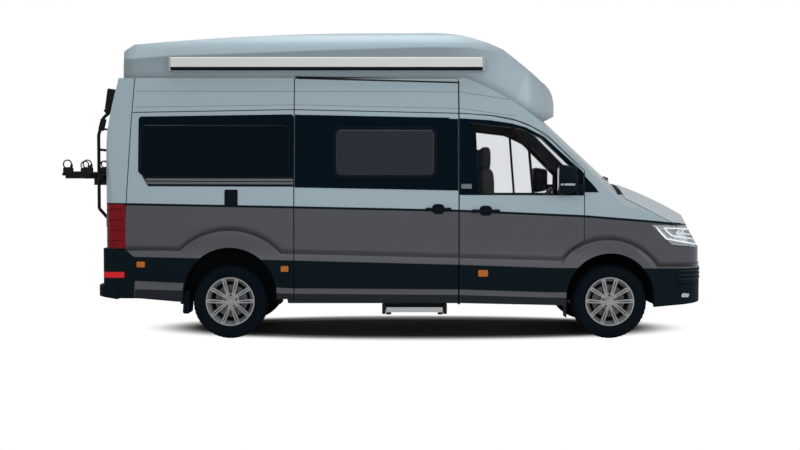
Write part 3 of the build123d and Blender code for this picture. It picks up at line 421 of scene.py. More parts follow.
# faces that look into the cabin painted near black as its shade
inward = facing_in(livery_and_shade, entry)
livery_and_shade.links.new(mixed(livery_and_shade, inward, colour, inside_shade_dark), leave.inputs["Color"])
matt = maths(livery_and_shade, "MAXIMUM", maths(livery_and_shade, "MAXIMUM", in_clad, in_strip), inward)
duller = matt_roughness - gloss_roughness
groove = ramp(livery_and_shade, maths(livery_and_shade, "MULTIPLY_ADD", under_crease, relief_bands, 0.5), crease_relief)
join(
    livery_and_shade,
    (maths(livery_and_shade, "MULTIPLY_ADD", matt, duller, gloss_roughness), leave.inputs["Gloss"]),
    (maths(livery_and_shade, "MULTIPLY_ADD", matt, -lacquer, lacquer), leave.inputs["Lacquer"]),
    (maths(livery_and_shade, "MULTIPLY", groove, crease_depth), leave.inputs["Height"]),
)


def finish_material(
    name, colour, roughness, metallic=0.0, coat=0.0, transmission=0.0, ior=1.45, specular=0.5,
):
    """Plain Principled material."""
    made = bpy.data.materials.new(name)
    made.use_nodes = True
    shader = made.node_tree.nodes["Principled BSDF"]
    shader.inputs["Base Color"].default_value = (*colour, 1)
    shader.inputs["Roughness"].default_value = roughness
    shader.inputs["Metallic"].default_value = metallic
    shader.inputs["Coat Weight"].default_value = coat
    shader.inputs["Coat Roughness"].default_value = 0.04
    shader.inputs["Transmission Weight"].default_value = transmission
    shader.inputs["IOR"].default_value = ior
    shader.inputs["Specular IOR Level"].default_value = specular
    return made


def dress(node_name, material):
    """Give a CAD node one material."""
    mesh = nodes[node_name].data
    mesh.materials.clear()
    mesh.materials.append(material)


def patterned(material, group, **colours):
    """Colour a material by a group that reads place and facing; returns its tree, plan and shader."""
    tree = material.node_tree
    shader = tree.nodes["Principled BSDF"]
    place = node(tree, "ShaderNodeTexCoord")
    plan = node(tree, "ShaderNodeGroup", node_tree=group)
    for label, value in colours.items():
        plan.inputs[label].default_value = (*value, 1)
    join(
        tree,
        (place.outputs["Object"], plan.inputs["Place"]),
        (place.outputs["Normal"], plan.inputs["Facing"]),
        (plan.outputs["Color"], shader.inputs["Base Color"]),
    )
    return tree, plan, shader


enamel = finish_material("two_tone_enamel_painted_shade", silver_blue, 0.3, metallic=0.25, coat=0.8, specular=0.12)
enamel_tree, coat_plan, shader = patterned(enamel, livery_and_shade, Upper=silver_blue, Lower=dark_grey)
relief = node(enamel_tree, "ShaderNodeBump")
relief.inputs["Distance"].default_value = 1.0
relief.inputs["Strength"].default_value = 1.0
join(
    enamel_tree,
    (coat_plan.outputs["Gloss"], shader.inputs["Roughness"]),
    (coat_plan.outputs["Lacquer"], shader.inputs["Coat Weight"]),
    (coat_plan.outputs["Height"], relief.inputs["Height"]),
    (relief.outputs["Normal"], shader.inputs["Normal"]),
)
for painted in (
    "rear_frame", "side_wall_left", "side_wall_right", "sliding_door", "cab_shell", "cab_door_left",
    "cab_door_right", "front_wings", "front_bumper", "rear_door_left", "rear_door_right",
):
    dress(painted, enamel)
# the bonnet in a lighter copy of the upper paint: painted light on its upward face
dress("bonnet", finish_material("silver_blue_enamel_lit", bonnet_lit_silver, 0.3, metallic=0.25, coat=0.8))

# ---------------------------------------------------------------- moulded high roof
# One gel-coated moulding with a crease along each side and a soft round to its edges. Its colour has a
# painted highlight above the crease and painted shade below it, fading out over the cab.
roof_crease = (
    (tail_end, 2.66), (-2.47, 2.682), (-2.113, 2.714), (-1.30, 2.742), (-0.536, 2.771), (0.40, 2.80),
    (0.80, 2.795), (1.20, 2.72), (1.70, 2.50), (nose_end, 2.0),
)
# painted shade below the roof's crease and painted highlight above it, by place across the crease; over the
# cab it fades to a level that leaves the colour as it is
roof_painted_shade = ((0.0, 0.62), (0.35, 0.52), (0.49, 0.50), (0.53, 0.86), (0.80, 0.98))
roof_shade_bands = 2.5
fade_from, fade_done, no_painted_shade = 0.45, 1.35, (0.80, 0.80, 0.80)
moulding, entry, leave = node_group(
    "roof_painted_shade_group", (("Place", "Vector"), ("Facing", "Vector"), ("Base", "Color")), (("Color", "Color"),),
)
apart = node(moulding, "ShaderNodeSeparateXYZ")
moulding.links.new(entry.outputs["Place"], apart.inputs[0])
rise = maths(moulding, "SUBTRACT", apart.outputs[2], height_at(moulding, apart.outputs[0], roof_crease))
shade = ramp(moulding, maths(moulding, "MULTIPLY_ADD", rise, roof_shade_bands, 0.5), roof_painted_shade)
over_cab = node(moulding, "ShaderNodeMapRange", interpolation_type="SMOOTHSTEP")
over_cab.inputs["From Min"].default_value = fade_from
over_cab.inputs["From Max"].default_value = fade_done
moulding.links.new(apart.outputs[0], over_cab.inputs["Value"])
faded = mixed(moulding, over_cab.outputs[0], shade, no_painted_shade)
shaded_gel_colour = toned(moulding, entry.outputs["Base"], maths(moulding, "MULTIPLY", faded, shade_gain))
# faces that look into the cabin painted near black as its shade
shaded_gel_colour = mixed(moulding, facing_in(moulding, entry), shaded_gel_colour, inside_shade_dark)
moulding.links.new(shaded_gel_colour, leave.inputs["Color"])
gel_coat = finish_material("silver_blue_gel_coat_painted_shade", silver_blue, 0.34, metallic=0.1, coat=0.5)
gel_tree, _, shader = patterned(gel_coat, moulding, Base=silver_blue)
soft_edge = node(gel_tree, "ShaderNodeBevel", samples=6)
soft_edge.inputs["Radius"].default_value = 0.16
gel_tree.links.new(soft_edge.outputs[0], shader.inputs["Normal"])
dress("high_roof", gel_coat)

# ---------------------------------------------------------------- glass, plastics and metals of the CAD nodes
# Plain finishes for the panes, mouldings, castings and rubber that keep the shape they were drawn with. The
# tail lamps' lenses have the faces that look inward painted near black as shade.
red_plastic = (0.15, 0.0015, 0.006)
black_moulding = finish_material("black_moulding", cladding_black, 0.55, specular=0.08)
cab_pane = finish_material("cab_pane", (0.84, 0.855, 0.87), 0.0, transmission=1.0, ior=1.08)
dark_pane = finish_material("privacy_pane", (0.0003, 0.0035, 0.008), 0.05, transmission=0.1, specular=0.03)
grey_pane = finish_material("smoked_pane", (0.020, 0.027, 0.035), 0.08, transmission=0.25, specular=0.06)
bare_alloy = finish_material("wheel_silver", (0.30, 0.305, 0.31), 0.34, metallic=0.7)
tyre_rubber = finish_material("tyre_rubber", (0.0022, 0.0050, 0.0080), 0.75, specular=0.05)
satin_black = finish_material("satin_black_steel", (0.004, 0.005, 0.006), 0.45, specular=0.2)
cast_iron = finish_material("cast_iron", (0.02, 0.02, 0.022), 0.7, metallic=0.3, specular=0.2)
bright = finish_material("bright_chrome", (0.75, 0.76, 0.78), 0.12, metallic=1.0)
cloth_grey = finish_material("seat_cloth", (0.028, 0.030, 0.034), 0.9, specular=0.2)
dash_grey = finish_material("dash_moulding", (0.03, 0.03, 0.033), 0.6)
red_lens = finish_material("red_lens", red_plastic, 0.2, coat=0.1, specular=0.15)
awning_white = finish_material("awning_enamel", (0.52, 0.53, 0.52), 0.35, coat=0.3)
underseal = finish_material("underseal", (0.004, 0.005, 0.006), 0.85, specular=0.1)
step_alloy = finish_material("step_alloy", (0.5, 0.52, 0.53), 0.4, metallic=0.8)
corners = ("front_left", "front_right", "rear_left", "rear_right")
for names, material in (
    (("bumper_apron", "cowl_panel", "rear_bumper", "grille"), black_moulding),
    (("mirror_left", "mirror_right", "mud_flaps"), black_moulding),
    (("windscreen", "cab_glass_left", "cab_glass_right"), cab_pane),
    (("side_windows", "rear_glass_left", "rear_glass_right"), dark_pane),
    (("carrier_frame", "carrier_platform", "step_housing", "steering_wheel"), satin_black),
    (("front_subframe", "rear_axle", "knuckle_left", "knuckle_right", "engine_block"), cast_iron),
    (("grille_bars", "headlamps"), bright),
    (("cab_seats",), cloth_grey),
    (("dashboard",), dash_grey),
    (("tail_lamps",), red_lens),
    (("awning_case",), awning_white),
    (("floor_pan", "wheel_housings"), underseal),
    (("entry_step",), step_alloy),
    (["rim_" + corner for corner in corners], bare_alloy),
    (["tyre_" + corner for corner in corners], tyre_rubber),
):
    for name in names:
        dress(name, material)
# the tail lamps' inward faces painted near black as shade
lens_shade_group, entry, leave = node_group(
    "lens_inside_shade", (("Place", "Vector"), ("Facing", "Vector"), ("Base", "Color")), (("Color", "Color"),),
)
lens_shaded = mixed(lens_shade_group, facing_in(lens_shade_group, entry), entry.outputs["Base"], inside_shade_dark)
lens_shade_group.links.new(lens_shaded, leave.inputs["Color"])
patterned(red_lens, lens_shade_group, Base=red_plastic)


# ---------------------------------------------------------------- black glass panels round the side windows
# Gloss black panels bonded flush on the sliding door and the quarter panels.
# They follow the body's own skin and stop at the window openings.
merge_reach = 0.00002  # how near the corners of a CAD node's loose triangles lie
skin_share = 0.35  # how squarely a face of the outer skin looks out, at least
sharp_from = radians(35)


def rounded(corners, radius, steps=5):
    """Outline of a convex shape, anticlockwise, with every corner rounded."""
    outline = []
    for before, here, after in zip(corners[-1:] + corners[:-1], corners, corners[1:] + corners[:1]):
        to_before = (Vector(before) - Vector(here)).normalized()
        to_after = (Vector(after) - Vector(here)).normalized()
        half = to_before.angle(to_after) / 2
        centre = Vector(here) + (to_before + to_after).normalized() * (radius / sin(half))
        start = Vector(here) + to_before * (radius / tan(half)) - centre
        sweep = pi - 2 * half
        for step in range(steps + 1):
            turn = sweep * step / steps
            u = centre.x + start.x * cos(turn) - start.y * sin(turn)
            v = centre.y + start.x * sin(turn) + start.y * cos(turn)
            outline.append((u, v))
    return outline


def oblong(a0, a1, b0, b1):
    """Corners of an upright rectangle, anticlockwise."""
    return [(a0, b0), (a1, b0), (a1, b1), (a0, b1)]


def finished(name, bm, material, body):
    """Turn a bmesh into a piece that rides on a body of the vehicle."""
    mesh = bpy.data.meshes.new(name)
    bm.to_mesh(mesh)
    bm.free()
    mesh.materials.append(material)
    mesh.shade_smooth()
    mesh.set_sharp_from_angle(angle=sharp_from)
    piece = bpy.data.objects.new(name, mesh)
    bpy.context.scene.collection.objects.link(piece)
    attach(piece, body)
    return piece


def merged_copy(node_name):
    """Bmesh copy of a CAD node with its loose triangles joined."""
    bm = bmesh.new()
    bm.from_mesh(nodes[node_name].data)
    bmesh.ops.remove_doubles(bm, verts=bm.verts[:], dist=merge_reach)
    bm.normal_update()
    return bm


def skin_patch(node_name, outline, facing, lift, thickness, nearest=0.0):
    """Bmesh of a panel's outer skin inside a convex outline, lifted off and given a thickness.

    Only faces whose middle lies at least nearest metres out along facing are taken.
    """
    across = Vector((1, 0, 0)) if abs(facing.y) > 0.5 else Vector((0, 1, 0))
    up = Vector((0, 0, 1))
    bm = merged_copy(node_name)
    inner = []
    for face in bm.faces:
        if face.normal.dot(facing) < skin_share or face.calc_center_median().dot(facing) < nearest:
            inner.append(face)
    bmesh.ops.delete(bm, geom=inner, context="FACES")
    middle_a = sum(point[0] for point in outline) / len(outline)
    middle_b = sum(point[1] for point in outline) / len(outline)
    for (a0, b0), (a1, b1) in zip(outline, outline[1:] + outline[:1]):
        if hypot(a1 - a0, b1 - b0) < 1e-7:
            continue
        normal = across * (b1 - b0) + up * (a0 - a1)
        if normal.dot(across * (middle_a - a0) + up * (middle_b - b0)) > 0:
            normal.negate()
        everything = bm.verts[:] + bm.edges[:] + bm.faces[:]
        bmesh.ops.bisect_plane(bm, geom=everything, dist=0.00001, plane_co=across * a0 + up * b0,
                               plane_no=normal, clear_outer=True)
    bm.normal_update()
    for vert in bm.verts:
        vert.co += vert.normal * lift
    bmesh.ops.solidify(bm, geom=bm.faces[:], thickness=thickness)
    return bm


RIGHT, LEFT, AHEAD, ASTERN = Vector((0, -1, 0)), Vector((0, 1, 0)), Vector((1, 0, 0)), Vector((-1, 0, 0))
# name, sign of y and outward direction of each side
sides = (("right", -1, RIGHT), ("left", 1, LEFT))
flush = (0.0025, 0.0022)  # lift off the skin, and thickness, of a panel bonded flush
panel_black = finish_material("panel_gloss_black", (0.0004, 0.0042, 0.0088), 0.08, specular=0.05)
seal_black = finish_material("rubber_seal", (0.0015, 0.004, 0.008), 0.6, specular=0.1)
quarter_corners = [(-2.365, 1.60), (-2.305, 1.545), (-0.8845, 1.541), (-0.8845, 2.150), (-2.365, 2.128)]
slide_outline = [(-0.8725, 1.451), (0.6045, 1.423), (0.6045, 2.117), (-0.8725, 2.146)]
post_outline = [(0.6045, 1.423), (0.6885, 1.421), (0.6885, 2.105), (0.6045, 2.107)]
for side_name, side, facing in sides:
    wall = "side_wall_" + side_name
    door = "sliding_door" if side < 0 else wall
    for name, panel, outline, seat in (
        ("quarter_panel_", wall, rounded(quarter_corners, 0.03), flush),
        ("door_panel_", door, slide_outline, (0.0045, 0.0042)),
        ("post_panel_", door, post_outline, flush),
    ):
        patch = skin_patch(panel, outline, facing, *seat)
        finished(name + side_name, patch, panel_black, "body")


# ---------------------------------------------------------------- side window panes
# Tinted acrylic: the quarter panes stand proud of their panels with rounded
# edges, and the hinged panes sit in a raised frame.
def body_half(z):
    """Half width of the steel body's side at a height above the crease, in metres."""
    rows = ((1.08, 1.008), (1.65, 0.980), (2.16, 0.932))
    total = 0.0
    for place, (level, width) in enumerate(rows):
        share = width
        for other, (other_level, _) in enumerate(rows):
            if other != place:
                share *= (z - other_level) / (level - other_level)
        total += share
    return total


def join_rings(bm, first, second):
    """Faces all round between two rings of as many vertices."""
    for place in range(len(first)):
        after = (place + 1) % len(first)
        bm.faces.new((first[place], first[after], second[after], second[place]))


def side_pane(x0, x1, z0, z1, radius, lift, thickness, side, border=None):
    """Rounded plate, or a frame where a border width is given, bent to the body's side."""
    bm = bmesh.new()
    rim = [bm.verts.new((x, 0, z)) for x, z in rounded(oblong(x0, x1, z0, z1), radius)]
    if border:
        opening = oblong(x0 + border, x1 - border, z0 + border, z1 - border)
        lip = [bm.verts.new((x, 0, z)) for x, z in rounded(opening, max(radius - border, 0.03))]
        join_rings(bm, rim, lip)
    else:
        bm.faces.new(rim)
    bend_step = 0.04
    level = z0 + bend_step
    while level < z1:
        everything = bm.verts[:] + bm.edges[:] + bm.faces[:]
        bmesh.ops.bisect_plane(bm, geom=everything, plane_co=(0, 0, level), plane_no=(0, 0, 1))
        level += bend_step
    bmesh.ops.solidify(bm, geom=bm.faces[:], thickness=thickness)
    low = min(vert.co.y for vert in bm.verts)
    for vert in bm.verts:
        vert.co.y = side * (body_half(vert.co.z) + lift - thickness + (vert.co.y - low))
    bmesh.ops.recalc_face_normals(bm, faces=bm.faces[:])
    return bm


def soften(piece, width, segments=2):
    """Rounded edges on a finished piece."""
    bevel = piece.modifiers.new("rounded_edges", "BEVEL")
    bevel.width = width
    bevel.segments = segments
    bevel.limit_method = "ANGLE"
    bevel.angle_limit = radians(40)
    return piece


for side_name, side, _ in sides:
    pane_bm = side_pane(-2.345, -0.925, 1.556, 2.046, 0.055, 0.010, 0.007, side)
    pane = soften(finished("quarter_pane_" + side_name, pane_bm, dark_pane, "body"), 0.004)
    if side < 0:
        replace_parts(pane, "side_windows")
    pane_bm = side_pane(-0.474, 0.457, 1.569, 1.999, 0.05, 0.012, 0.008, side)
    soften(finished("hinged_pane_" + side_name, pane_bm, grey_pane, "body"), 0.004)
    frame_bm = side_pane(-0.505, 0.488, 1.538, 2.030, 0.075, 0.0085, 0.0085, side, border=0.040)
    soften(finished("pane_frame_" + side_name, frame_bm, seal_black, "body"), 0.003)

# ---------------------------------------------------------------- cab door window trims
# Black film round the cab door glass, the bar before the quarter light, the
# corner piece beside the mirror, a metal plate on the post and the sill seal.
film_outline = [
    (0.7025, 1.379), (1.8860, 1.374), (1.8860, 1.588), (1.510, 1.935), (1.335, 2.025), (1.204, 2.062),
    (0.99, 2.094), (0.7025, 2.112),
]
corner_outline = [(1.8965, 1.366), (1.975, 1.362), (2.030, 1.400), (1.995, 1.452), (1.8965, 1.560)]
edge_outline = [(0.79, 1.37), (0.888, 1.37), (0.860, 1.99), (0.79, 2.08)]
plate_outline = rounded(oblong(0.718, 0.838, 1.440, 1.484), 0.008, 3)
bar_foot, bar_length, bar_station, bar_lean = 1.385, 0.62, 1.402, 0.085
plate_metal = finish_material("pillar_plate_metal", (0.16, 0.17, 0.18), 0.4, metallic=0.5)
for side_name, side, facing in sides:
    door = "cab_door_" + side_name
    film = skin_patch(door, film_outline, facing, *flush, 0.85)
    finished("window_film_" + side_name, film, panel_black, door)
    corner = skin_patch("cab_shell", corner_outline, facing, 0.004, 0.004, 0.9)
    finished("pillar_corner_" + side_name, corner, panel_black, "body")
    bar = bmesh.new()
    bmesh.ops.create_cube(bar, size=1.0)
    uprights = [edge for edge in bar.edges if abs(edge.verts[0].co.z - edge.verts[1].co.z) > 0.5]
    bmesh.ops.subdivide_edges(bar, edges=uprights, cuts=8)
    for vert in bar.verts:
        level = bar_foot + (vert.co.z + 0.5) * bar_length
        x = bar_station - bar_lean * (level - bar_foot) + vert.co.x * 0.024
        vert.co = Vector((x, side * (body_half(level) - 0.012 + vert.co.y * 0.018), level))
    bmesh.ops.recalc_face_normals(bar, faces=bar.faces[:])
    finished("quarter_light_bar_" + side_name, bar, seal_black, door)
    edge = skin_patch("cab_glass_" + side_name, edge_outline, facing, 0.0012, 0.001, 0.8)
    finished("glass_edge_" + side_name, edge, panel_black, door)
    plate = skin_patch(door, plate_outline, facing, 0.0055, 0.003, 0.85)
    finished("pillar_plate_" + side_name, plate, plate_metal, door)
    seal = bmesh.new()
    bmesh.ops.create_cube(seal, size=1.0)
    bmesh.ops.scale(seal, vec=(0.026, 0.012, 0.150), verts=seal.verts)
    bmesh.ops.translate(seal, vec=(0.6975, side * 0.945, 0.405), verts=seal.verts)
    finished("sill_seal_" + side_name, seal, seal_black, "body")


# ---------------------------------------------------------------- exterior mirrors
# Rounded two-part housings with a silver turn-lamp strip, a cranked arm and
# glass that faces the driver.
def slab(size, centre, turn=(0.0, 0.0, 0.0)):
    """Bmesh of a box of a size, turned about its own centre, then put at its place."""
    bm = bmesh.new()
    bmesh.ops.create_cube(bm, size=1.0)
    bmesh.ops.scale(bm, vec=size, verts=bm.verts)
    bmesh.ops.rotate(bm, matrix=Euler(turn).to_matrix(), verts=bm.verts)
    bmesh.ops.translate(bm, vec=centre, verts=bm.verts)
    return bm


def rounded_slab(size, centre, radius, segments=4, turn=(0.0, 0.0, 0.0)):
    """Box with all its edges rounded."""
    bm = slab(size, (0, 0, 0))
    bmesh.ops.bevel(bm, geom=bm.edges[:], offset=radius, segments=segments, profile=0.5, affect="EDGES",
                    material=-1)
    bmesh.ops.rotate(bm, matrix=Euler(turn).to_matrix(), verts=bm.verts)
    bmesh.ops.translate(bm, vec=centre, verts=bm.verts)
    return bm


def together(*parts):
    """One bmesh made of several."""
    whole = bmesh.new()
    for part in parts:
        carrier = bpy.data.meshes.new("joining")
        part.to_mesh(carrier)
        part.free()
        whole.from_mesh(carrier)
        bpy.data.meshes.remove(carrier)
    return whole


mirror_middle, mirror_level = 1.13, 1.535
taper_from, taper_length, taper_height, taper_width = 1.66, 0.13, 0.16, 0.12
mirror_glass = finish_material("mirror_silvering", (0.16, 0.17, 0.18), 0.02, metallic=1.0)
strip_silver = finish_material("satin_silver", (0.42, 0.44, 0.46), 0.3, metallic=0.6)
for side_name, side, _ in sides:
    door = "cab_door_" + side_name
    shell = rounded_slab((0.165, 0.200, 0.280), (1.707, side * 1.150, 1.525), 0.036)
    for vert in shell.verts:
        taper = max(0.0, (vert.co.x - taper_from) / taper_length)
        vert.co.z = mirror_level + (vert.co.z - mirror_level) * (1 - taper_height * taper)
        vert.co.y = side * mirror_middle + (vert.co.y - side * mirror_middle) * (1 - taper_width * taper)
    arm = rounded_slab((0.150, 0.150, 0.070), (1.812, side * 1.026, 1.443), 0.022)
    shell = finished("mirror_shell_" + side_name, together(shell, arm), black_moulding, door)
    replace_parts(shell, "mirror_" + side_name)
    band = rounded_slab((0.135, 0.012, 0.020), (1.700, side * 1.2435, 1.480), 0.004, 2)
    finished("mirror_strip_" + side_name, band, strip_silver, door)
    face = rounded_slab((0.006, 0.142, 0.212), (1.6268, side * 1.150, 1.527), 0.0028, 2)
    finished("mirror_glass_" + side_name, face, mirror_glass, door)

# ---------------------------------------------------------------- door handles
# Black pull handles over a round dished plate, on the cab doors and the
# sliding door.
for side_name, side, facing in sides:
    cab_door = "cab_door_" + side_name
    pulls = [("cab_handle_" + side_name, cab_door, cab_door, 0.815, 1.085, 1.226)]
    if side < 0:
        pulls.append(("sliding_handle", "sliding_door", "body", 0.374, 0.624, 1.242))
    for name, panel, body, x0, x1, z in pulls:
        middle = (x0 + x1) / 2
        bulge = rounded(oblong(middle - 0.062, middle + 0.062, z - 0.045, z + 0.052), 0.045, 8)
        dish = skin_patch(panel, bulge, facing, 0.003, 0.0027)
        pull = rounded_slab((x1 - x0, 0.022, 0.030), (middle, side * 1.026, z), 0.010, 3)
        feet = []
        for x in (x0 + 0.03, x1 - 0.03):
            feet.append(rounded_slab((0.045, 0.034, 0.034), (x, side * 1.010, z), 0.008, 2))
        finished(name, together(dish, pull, *feet), seal_black, body)

# ---------------------------------------------------------------- side markers, reflectors and vent
# Amber markers along the lower side, a red reflector in the rear bumper, the
# flap of the shore supply, and the sliding door's rail in its channel.
amber = finish_material("amber_lens", (0.36, 0.10, 0.008), 0.3, coat=0.2, specular=0.2)
red_reflector = finish_material("red_reflector", (0.55, 0.006, 0.010), 0.3, coat=0.2, specular=0.2)
reflector_outline = oblong(-2.700, -2.497, 0.590, 0.645)
for side_name, side, facing in sides:
    wall, door = "side_wall_" + side_name, "cab_door_" + side_name
    for place, panel, body, x0, x1, z0, z1 in (
        ("rear", wall, "body", -2.378, -2.300, 0.690, 0.745),
        ("middle", wall, "body", -1.004, -0.932, 0.648, 0.702),
        ("front", door, door, 0.879, 0.972, 0.602, 0.664),
    ):
        lens = skin_patch(panel, rounded(oblong(x0, x1, z0, z1), 0.008, 3), facing, 0.007, 0.0065)
        finished("marker_%s_%s" % (place, side_name), lens, amber, body)
    strips = []
    for panel in ("rear_bumper", "rear_frame", wall):
        strips.append(skin_patch(panel, reflector_outline, facing, 0.003, 0.0028, 0.7))
    finished("reflector_" + side_name, together(*strips), red_reflector, "body")
supply_outline = rounded(oblong(-1.540, -1.414, 1.278, 1.430), 0.012, 3)
supply = skin_patch("side_wall_right", supply_outline, RIGHT, 0.005, 0.0048)
finished("supply_flap", supply, seal_black, "body")
rail_tail, rail_front = -2.290, -0.8825
rails = []
for z in (1.484, 1.515):
    rail = [(rail_tail, z), (rail_front, z - 0.004), (rail_front, z + 0.018), (rail_tail, z + 0.022)]
    rails.append(skin_patch("side_wall_right", rail, RIGHT, 0.007, 0.0068))
rail_grey = finish_material("rail_metal", (0.12, 0.13, 0.14), 0.4, metallic=0.5)
finished("door_rail", together(*rails), rail_grey, "body")
channel_outline = [(-2.268, 1.462), (rail_front, 1.458), (rail_front, 1.560), (-2.325, 1.560)]
channel = skin_patch("side_wall_right", channel_outline, RIGHT, 0.0028, 0.0026)
finished("door_rail_channel", channel, seal_black, "body")

# ---------------------------------------------------------------- wheels
# Lathe-turned tyres with grooves round the tread and notched shoulders, with
# brake discs and shields behind the alloy rims, and spoke grooves, wheel bolts
# and plain caps on them.
front_axle, rear_axle, wheel_plane, wheel_centre = 2.1445, -1.4955, 0.860, 0.357
# radius and y of half the tyre's section, from the bead out to its middle
tyre_half = [
    (0.234, -0.092), (0.247, -0.104), (0.268, -0.113), (0.290, -0.117), (0.312, -0.114), (0.332, -0.106),
    (0.345, -0.096), (0.3535, -0.082), (0.3565, -0.066), (0.3568, -0.052), (0.348, -0.050), (0.348, -0.043),
    (0.357, -0.041), (0.357, -0.012), (0.348, -0.010), (0.348, -0.003), (0.357, -0.001),
]
tyre_profile = tyre_half + [(radius, -y) for radius, y in reversed(tyre_half)]
tyre_steps = 144
notch_depth, notch_from, notch_outside = 0.0085, 0.340, 0.060
disc_section = ((0.070, 0.010), (0.155, 0.010), (0.155, -0.012), (0.070, -0.012))
shield_section = ((0.150, -0.020), (0.196, -0.020), (0.196, -0.024), (0.150, -0.024))
cap_section = ((0.0, 0.0705), (0.031, 0.0705), (0.034, 0.0690), (0.0, 0.0690))
bolt_section = ((0.0, 0.0712), (0.0065, 0.0712), (0.0065, 0.060), (0.0, 0.060))
spoke_count, bolt_count, bolt_circle = 10, 5, 0.054
disc_steps, cap_steps, bolt_steps = 64, 32, 12
# reach from the axle, half width and height over the wheel's middle of a spoke's groove
groove_rows = (
    (0.064, 0.0022, 0.0640), (0.130, 0.0034, 0.0705), (0.170, 0.0040, 0.0775), (0.212, 0.0046, 0.0860),
)


def turned_ring(profile, centre, steps, side=1):
    """Bmesh of (radius, y) points turned about the wheel's axle, y pointing out of the vehicle."""
    bm = bmesh.new()
    rings = []
    for step in range(steps):
        turn = 2 * pi * step / steps
        ring = []
        for radius, y in profile:
            spot = (centre[0] + radius * cos(turn), centre[1] + side * y, centre[2] + radius * sin(turn))
            ring.append(bm.verts.new(spot))
        rings.append(ring)
    for first, second in zip(rings, rings[1:] + rings[:1]):
        join_rings(bm, first, second)
    bmesh.ops.recalc_face_normals(bm, faces=bm.faces[:])
    return bm


disc_metal = finish_material("brake_disc", (0.13, 0.132, 0.136), 0.45, metallic=0.5)
# plain dark strips laid in the spoke grooves, and the same dark on the bolts and caps
groove_dark = finish_material("spoke_groove_dark", (0.02, 0.021, 0.023), 0.5, specular=0.2)
for corner in corners:
    place_name, side_name = corner.split("_")
    side = 1 if side_name == "left" else -1
    body = "wheel_" + corner
    centre = (front_axle if place_name == "front" else rear_axle, side * wheel_plane, wheel_centre)
    tyre = turned_ring(tyre_profile, centre, tyre_steps)
    for vert in tyre.verts:
        spoke = Vector((vert.co.x - centre[0], 0, vert.co.z - centre[2]))
        reach = hypot(spoke.x, spoke.z)
        step = round(spoke.angle(AHEAD) / (2 * pi / tyre_steps))
        if step % 3 == 0 and notch_from < reach and abs(vert.co.y - centre[1]) > notch_outside:
            pull = 1 - notch_depth / reach
            vert.co.x = centre[0] + spoke.x * pull
            vert.co.z = centre[2] + spoke.z * pull
    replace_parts(finished("tyre_tread_" + corner, tyre, tyre_rubber, body), "tyre_" + corner)
    disc = turned_ring(disc_section, centre, disc_steps, side)
    finished("brake_disc_" + corner, disc, disc_metal, body)
    carrier = "knuckle_" + side_name if place_name == "front" else "body"
    shield = turned_ring(shield_section, centre, disc_steps, side)
    finished("brake_shield_" + corner, shield, seal_black, carrier)
    marks = [turned_ring(cap_section, centre, cap_steps, side)]
    for spoke in range(spoke_count):
        turn = Matrix.Rotation(-spoke * 2 * pi / spoke_count, 3, "Y")
        strip = bmesh.new()
        edges = []
        for reach, half, out in groove_rows:
            ends = [turn @ Vector((reach, side * out, along)) + Vector(centre) for along in (-half, half)]
            edges.append([strip.verts.new(end) for end in ends])
        for (a, b), (c, d) in zip(edges, edges[1:]):
            strip.faces.new((a, b, d, c) if side > 0 else (a, c, d, b))
        marks.append(strip)
    for bolt in range(bolt_count):
        turn = 2 * pi * (bolt + 0.25) / bolt_count
        seat = (centre[0] + bolt_circle * cos(turn), centre[1], centre[2] + bolt_circle * sin(turn))
        marks.append(turned_ring(bolt_section, seat, bolt_steps, side))
    finished("wheel_details_" + corner, together(*marks), groove_dark, body)


# ---------------------------------------------------------------- headlamps
# Clear lenses over silvered bowls, with angled light bars in each that run
# round the corner to the grille.
def shrunken(node_name, depth):
    """Bmesh copy of a CAD node, drawn in along its normals."""
    bm = merged_copy(node_name)
    for vert in bm.verts:
        vert.co -= vert.normal * depth
    return bm


clear_lens = finish_material("lamp_lens", (0.93, 0.95, 0.96), 0.0, transmission=1.0, ior=1.15)
lamp_bowl = finish_material("lamp_bowl", (0.27, 0.285, 0.30), 0.28, metallic=0.8)
light_bar = finish_material("light_bar", (0.70, 0.73, 0.75), 0.3)
light_bar.node_tree.nodes["Principled BSDF"].inputs["Emission Color"].default_value = (1, 1, 1, 1)
light_bar.node_tree.nodes["Principled BSDF"].inputs["Emission Strength"].default_value = 0.16
lens_cover = oblong(2.40, 3.20, 0.80, 1.20)
light_bar_outlines = (
    [(2.560, 1.084), (2.678, 0.955), (2.694, 0.967), (2.578, 1.088)],
    [(2.678, 0.955), (3.060, 0.882), (3.060, 0.897), (2.694, 0.969)],
    [(2.655, 1.058), (3.060, 1.040), (3.060, 1.052), (2.655, 1.070)],
    [(2.655, 1.058), (2.736, 0.983), (2.750, 0.990), (2.672, 1.064)],
    [(2.736, 0.983), (3.040, 0.938), (3.040, 0.948), (2.750, 0.994)],
    [(2.780, 1.012), (3.030, 0.984), (3.030, 0.992), (2.780, 1.022)],
)
bowls = finished("lamp_bowls", shrunken("headlamps", 0.007), lamp_bowl, "body")
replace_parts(bowls, "headlamps")
for side_name, side, _ in sides:
    outward = Vector((0.6, 0.8 * side, 0.0))
    lens = skin_patch("headlamps", lens_cover, outward, 0.0, 0.0025, 0.2)
    finished("lamp_lens_" + side_name, lens, clear_lens, "body")
    bars = []
    for outline in light_bar_outlines:
        bars.append(skin_patch("headlamps", outline, outward, -0.0045, 0.002, 0.2))
    finished("light_bars_" + side_name, together(*bars), light_bar, "body")


# ---------------------------------------------------------------- grille, bumper face and number plates
# Upright ribs behind the bright bars, ribs on the bumper's corners with small
# fog lamps below, a dark mesh in the intake, and blank plates front and rear.
far_off = 4.0  # how far out a ray starts, clear of the vehicle


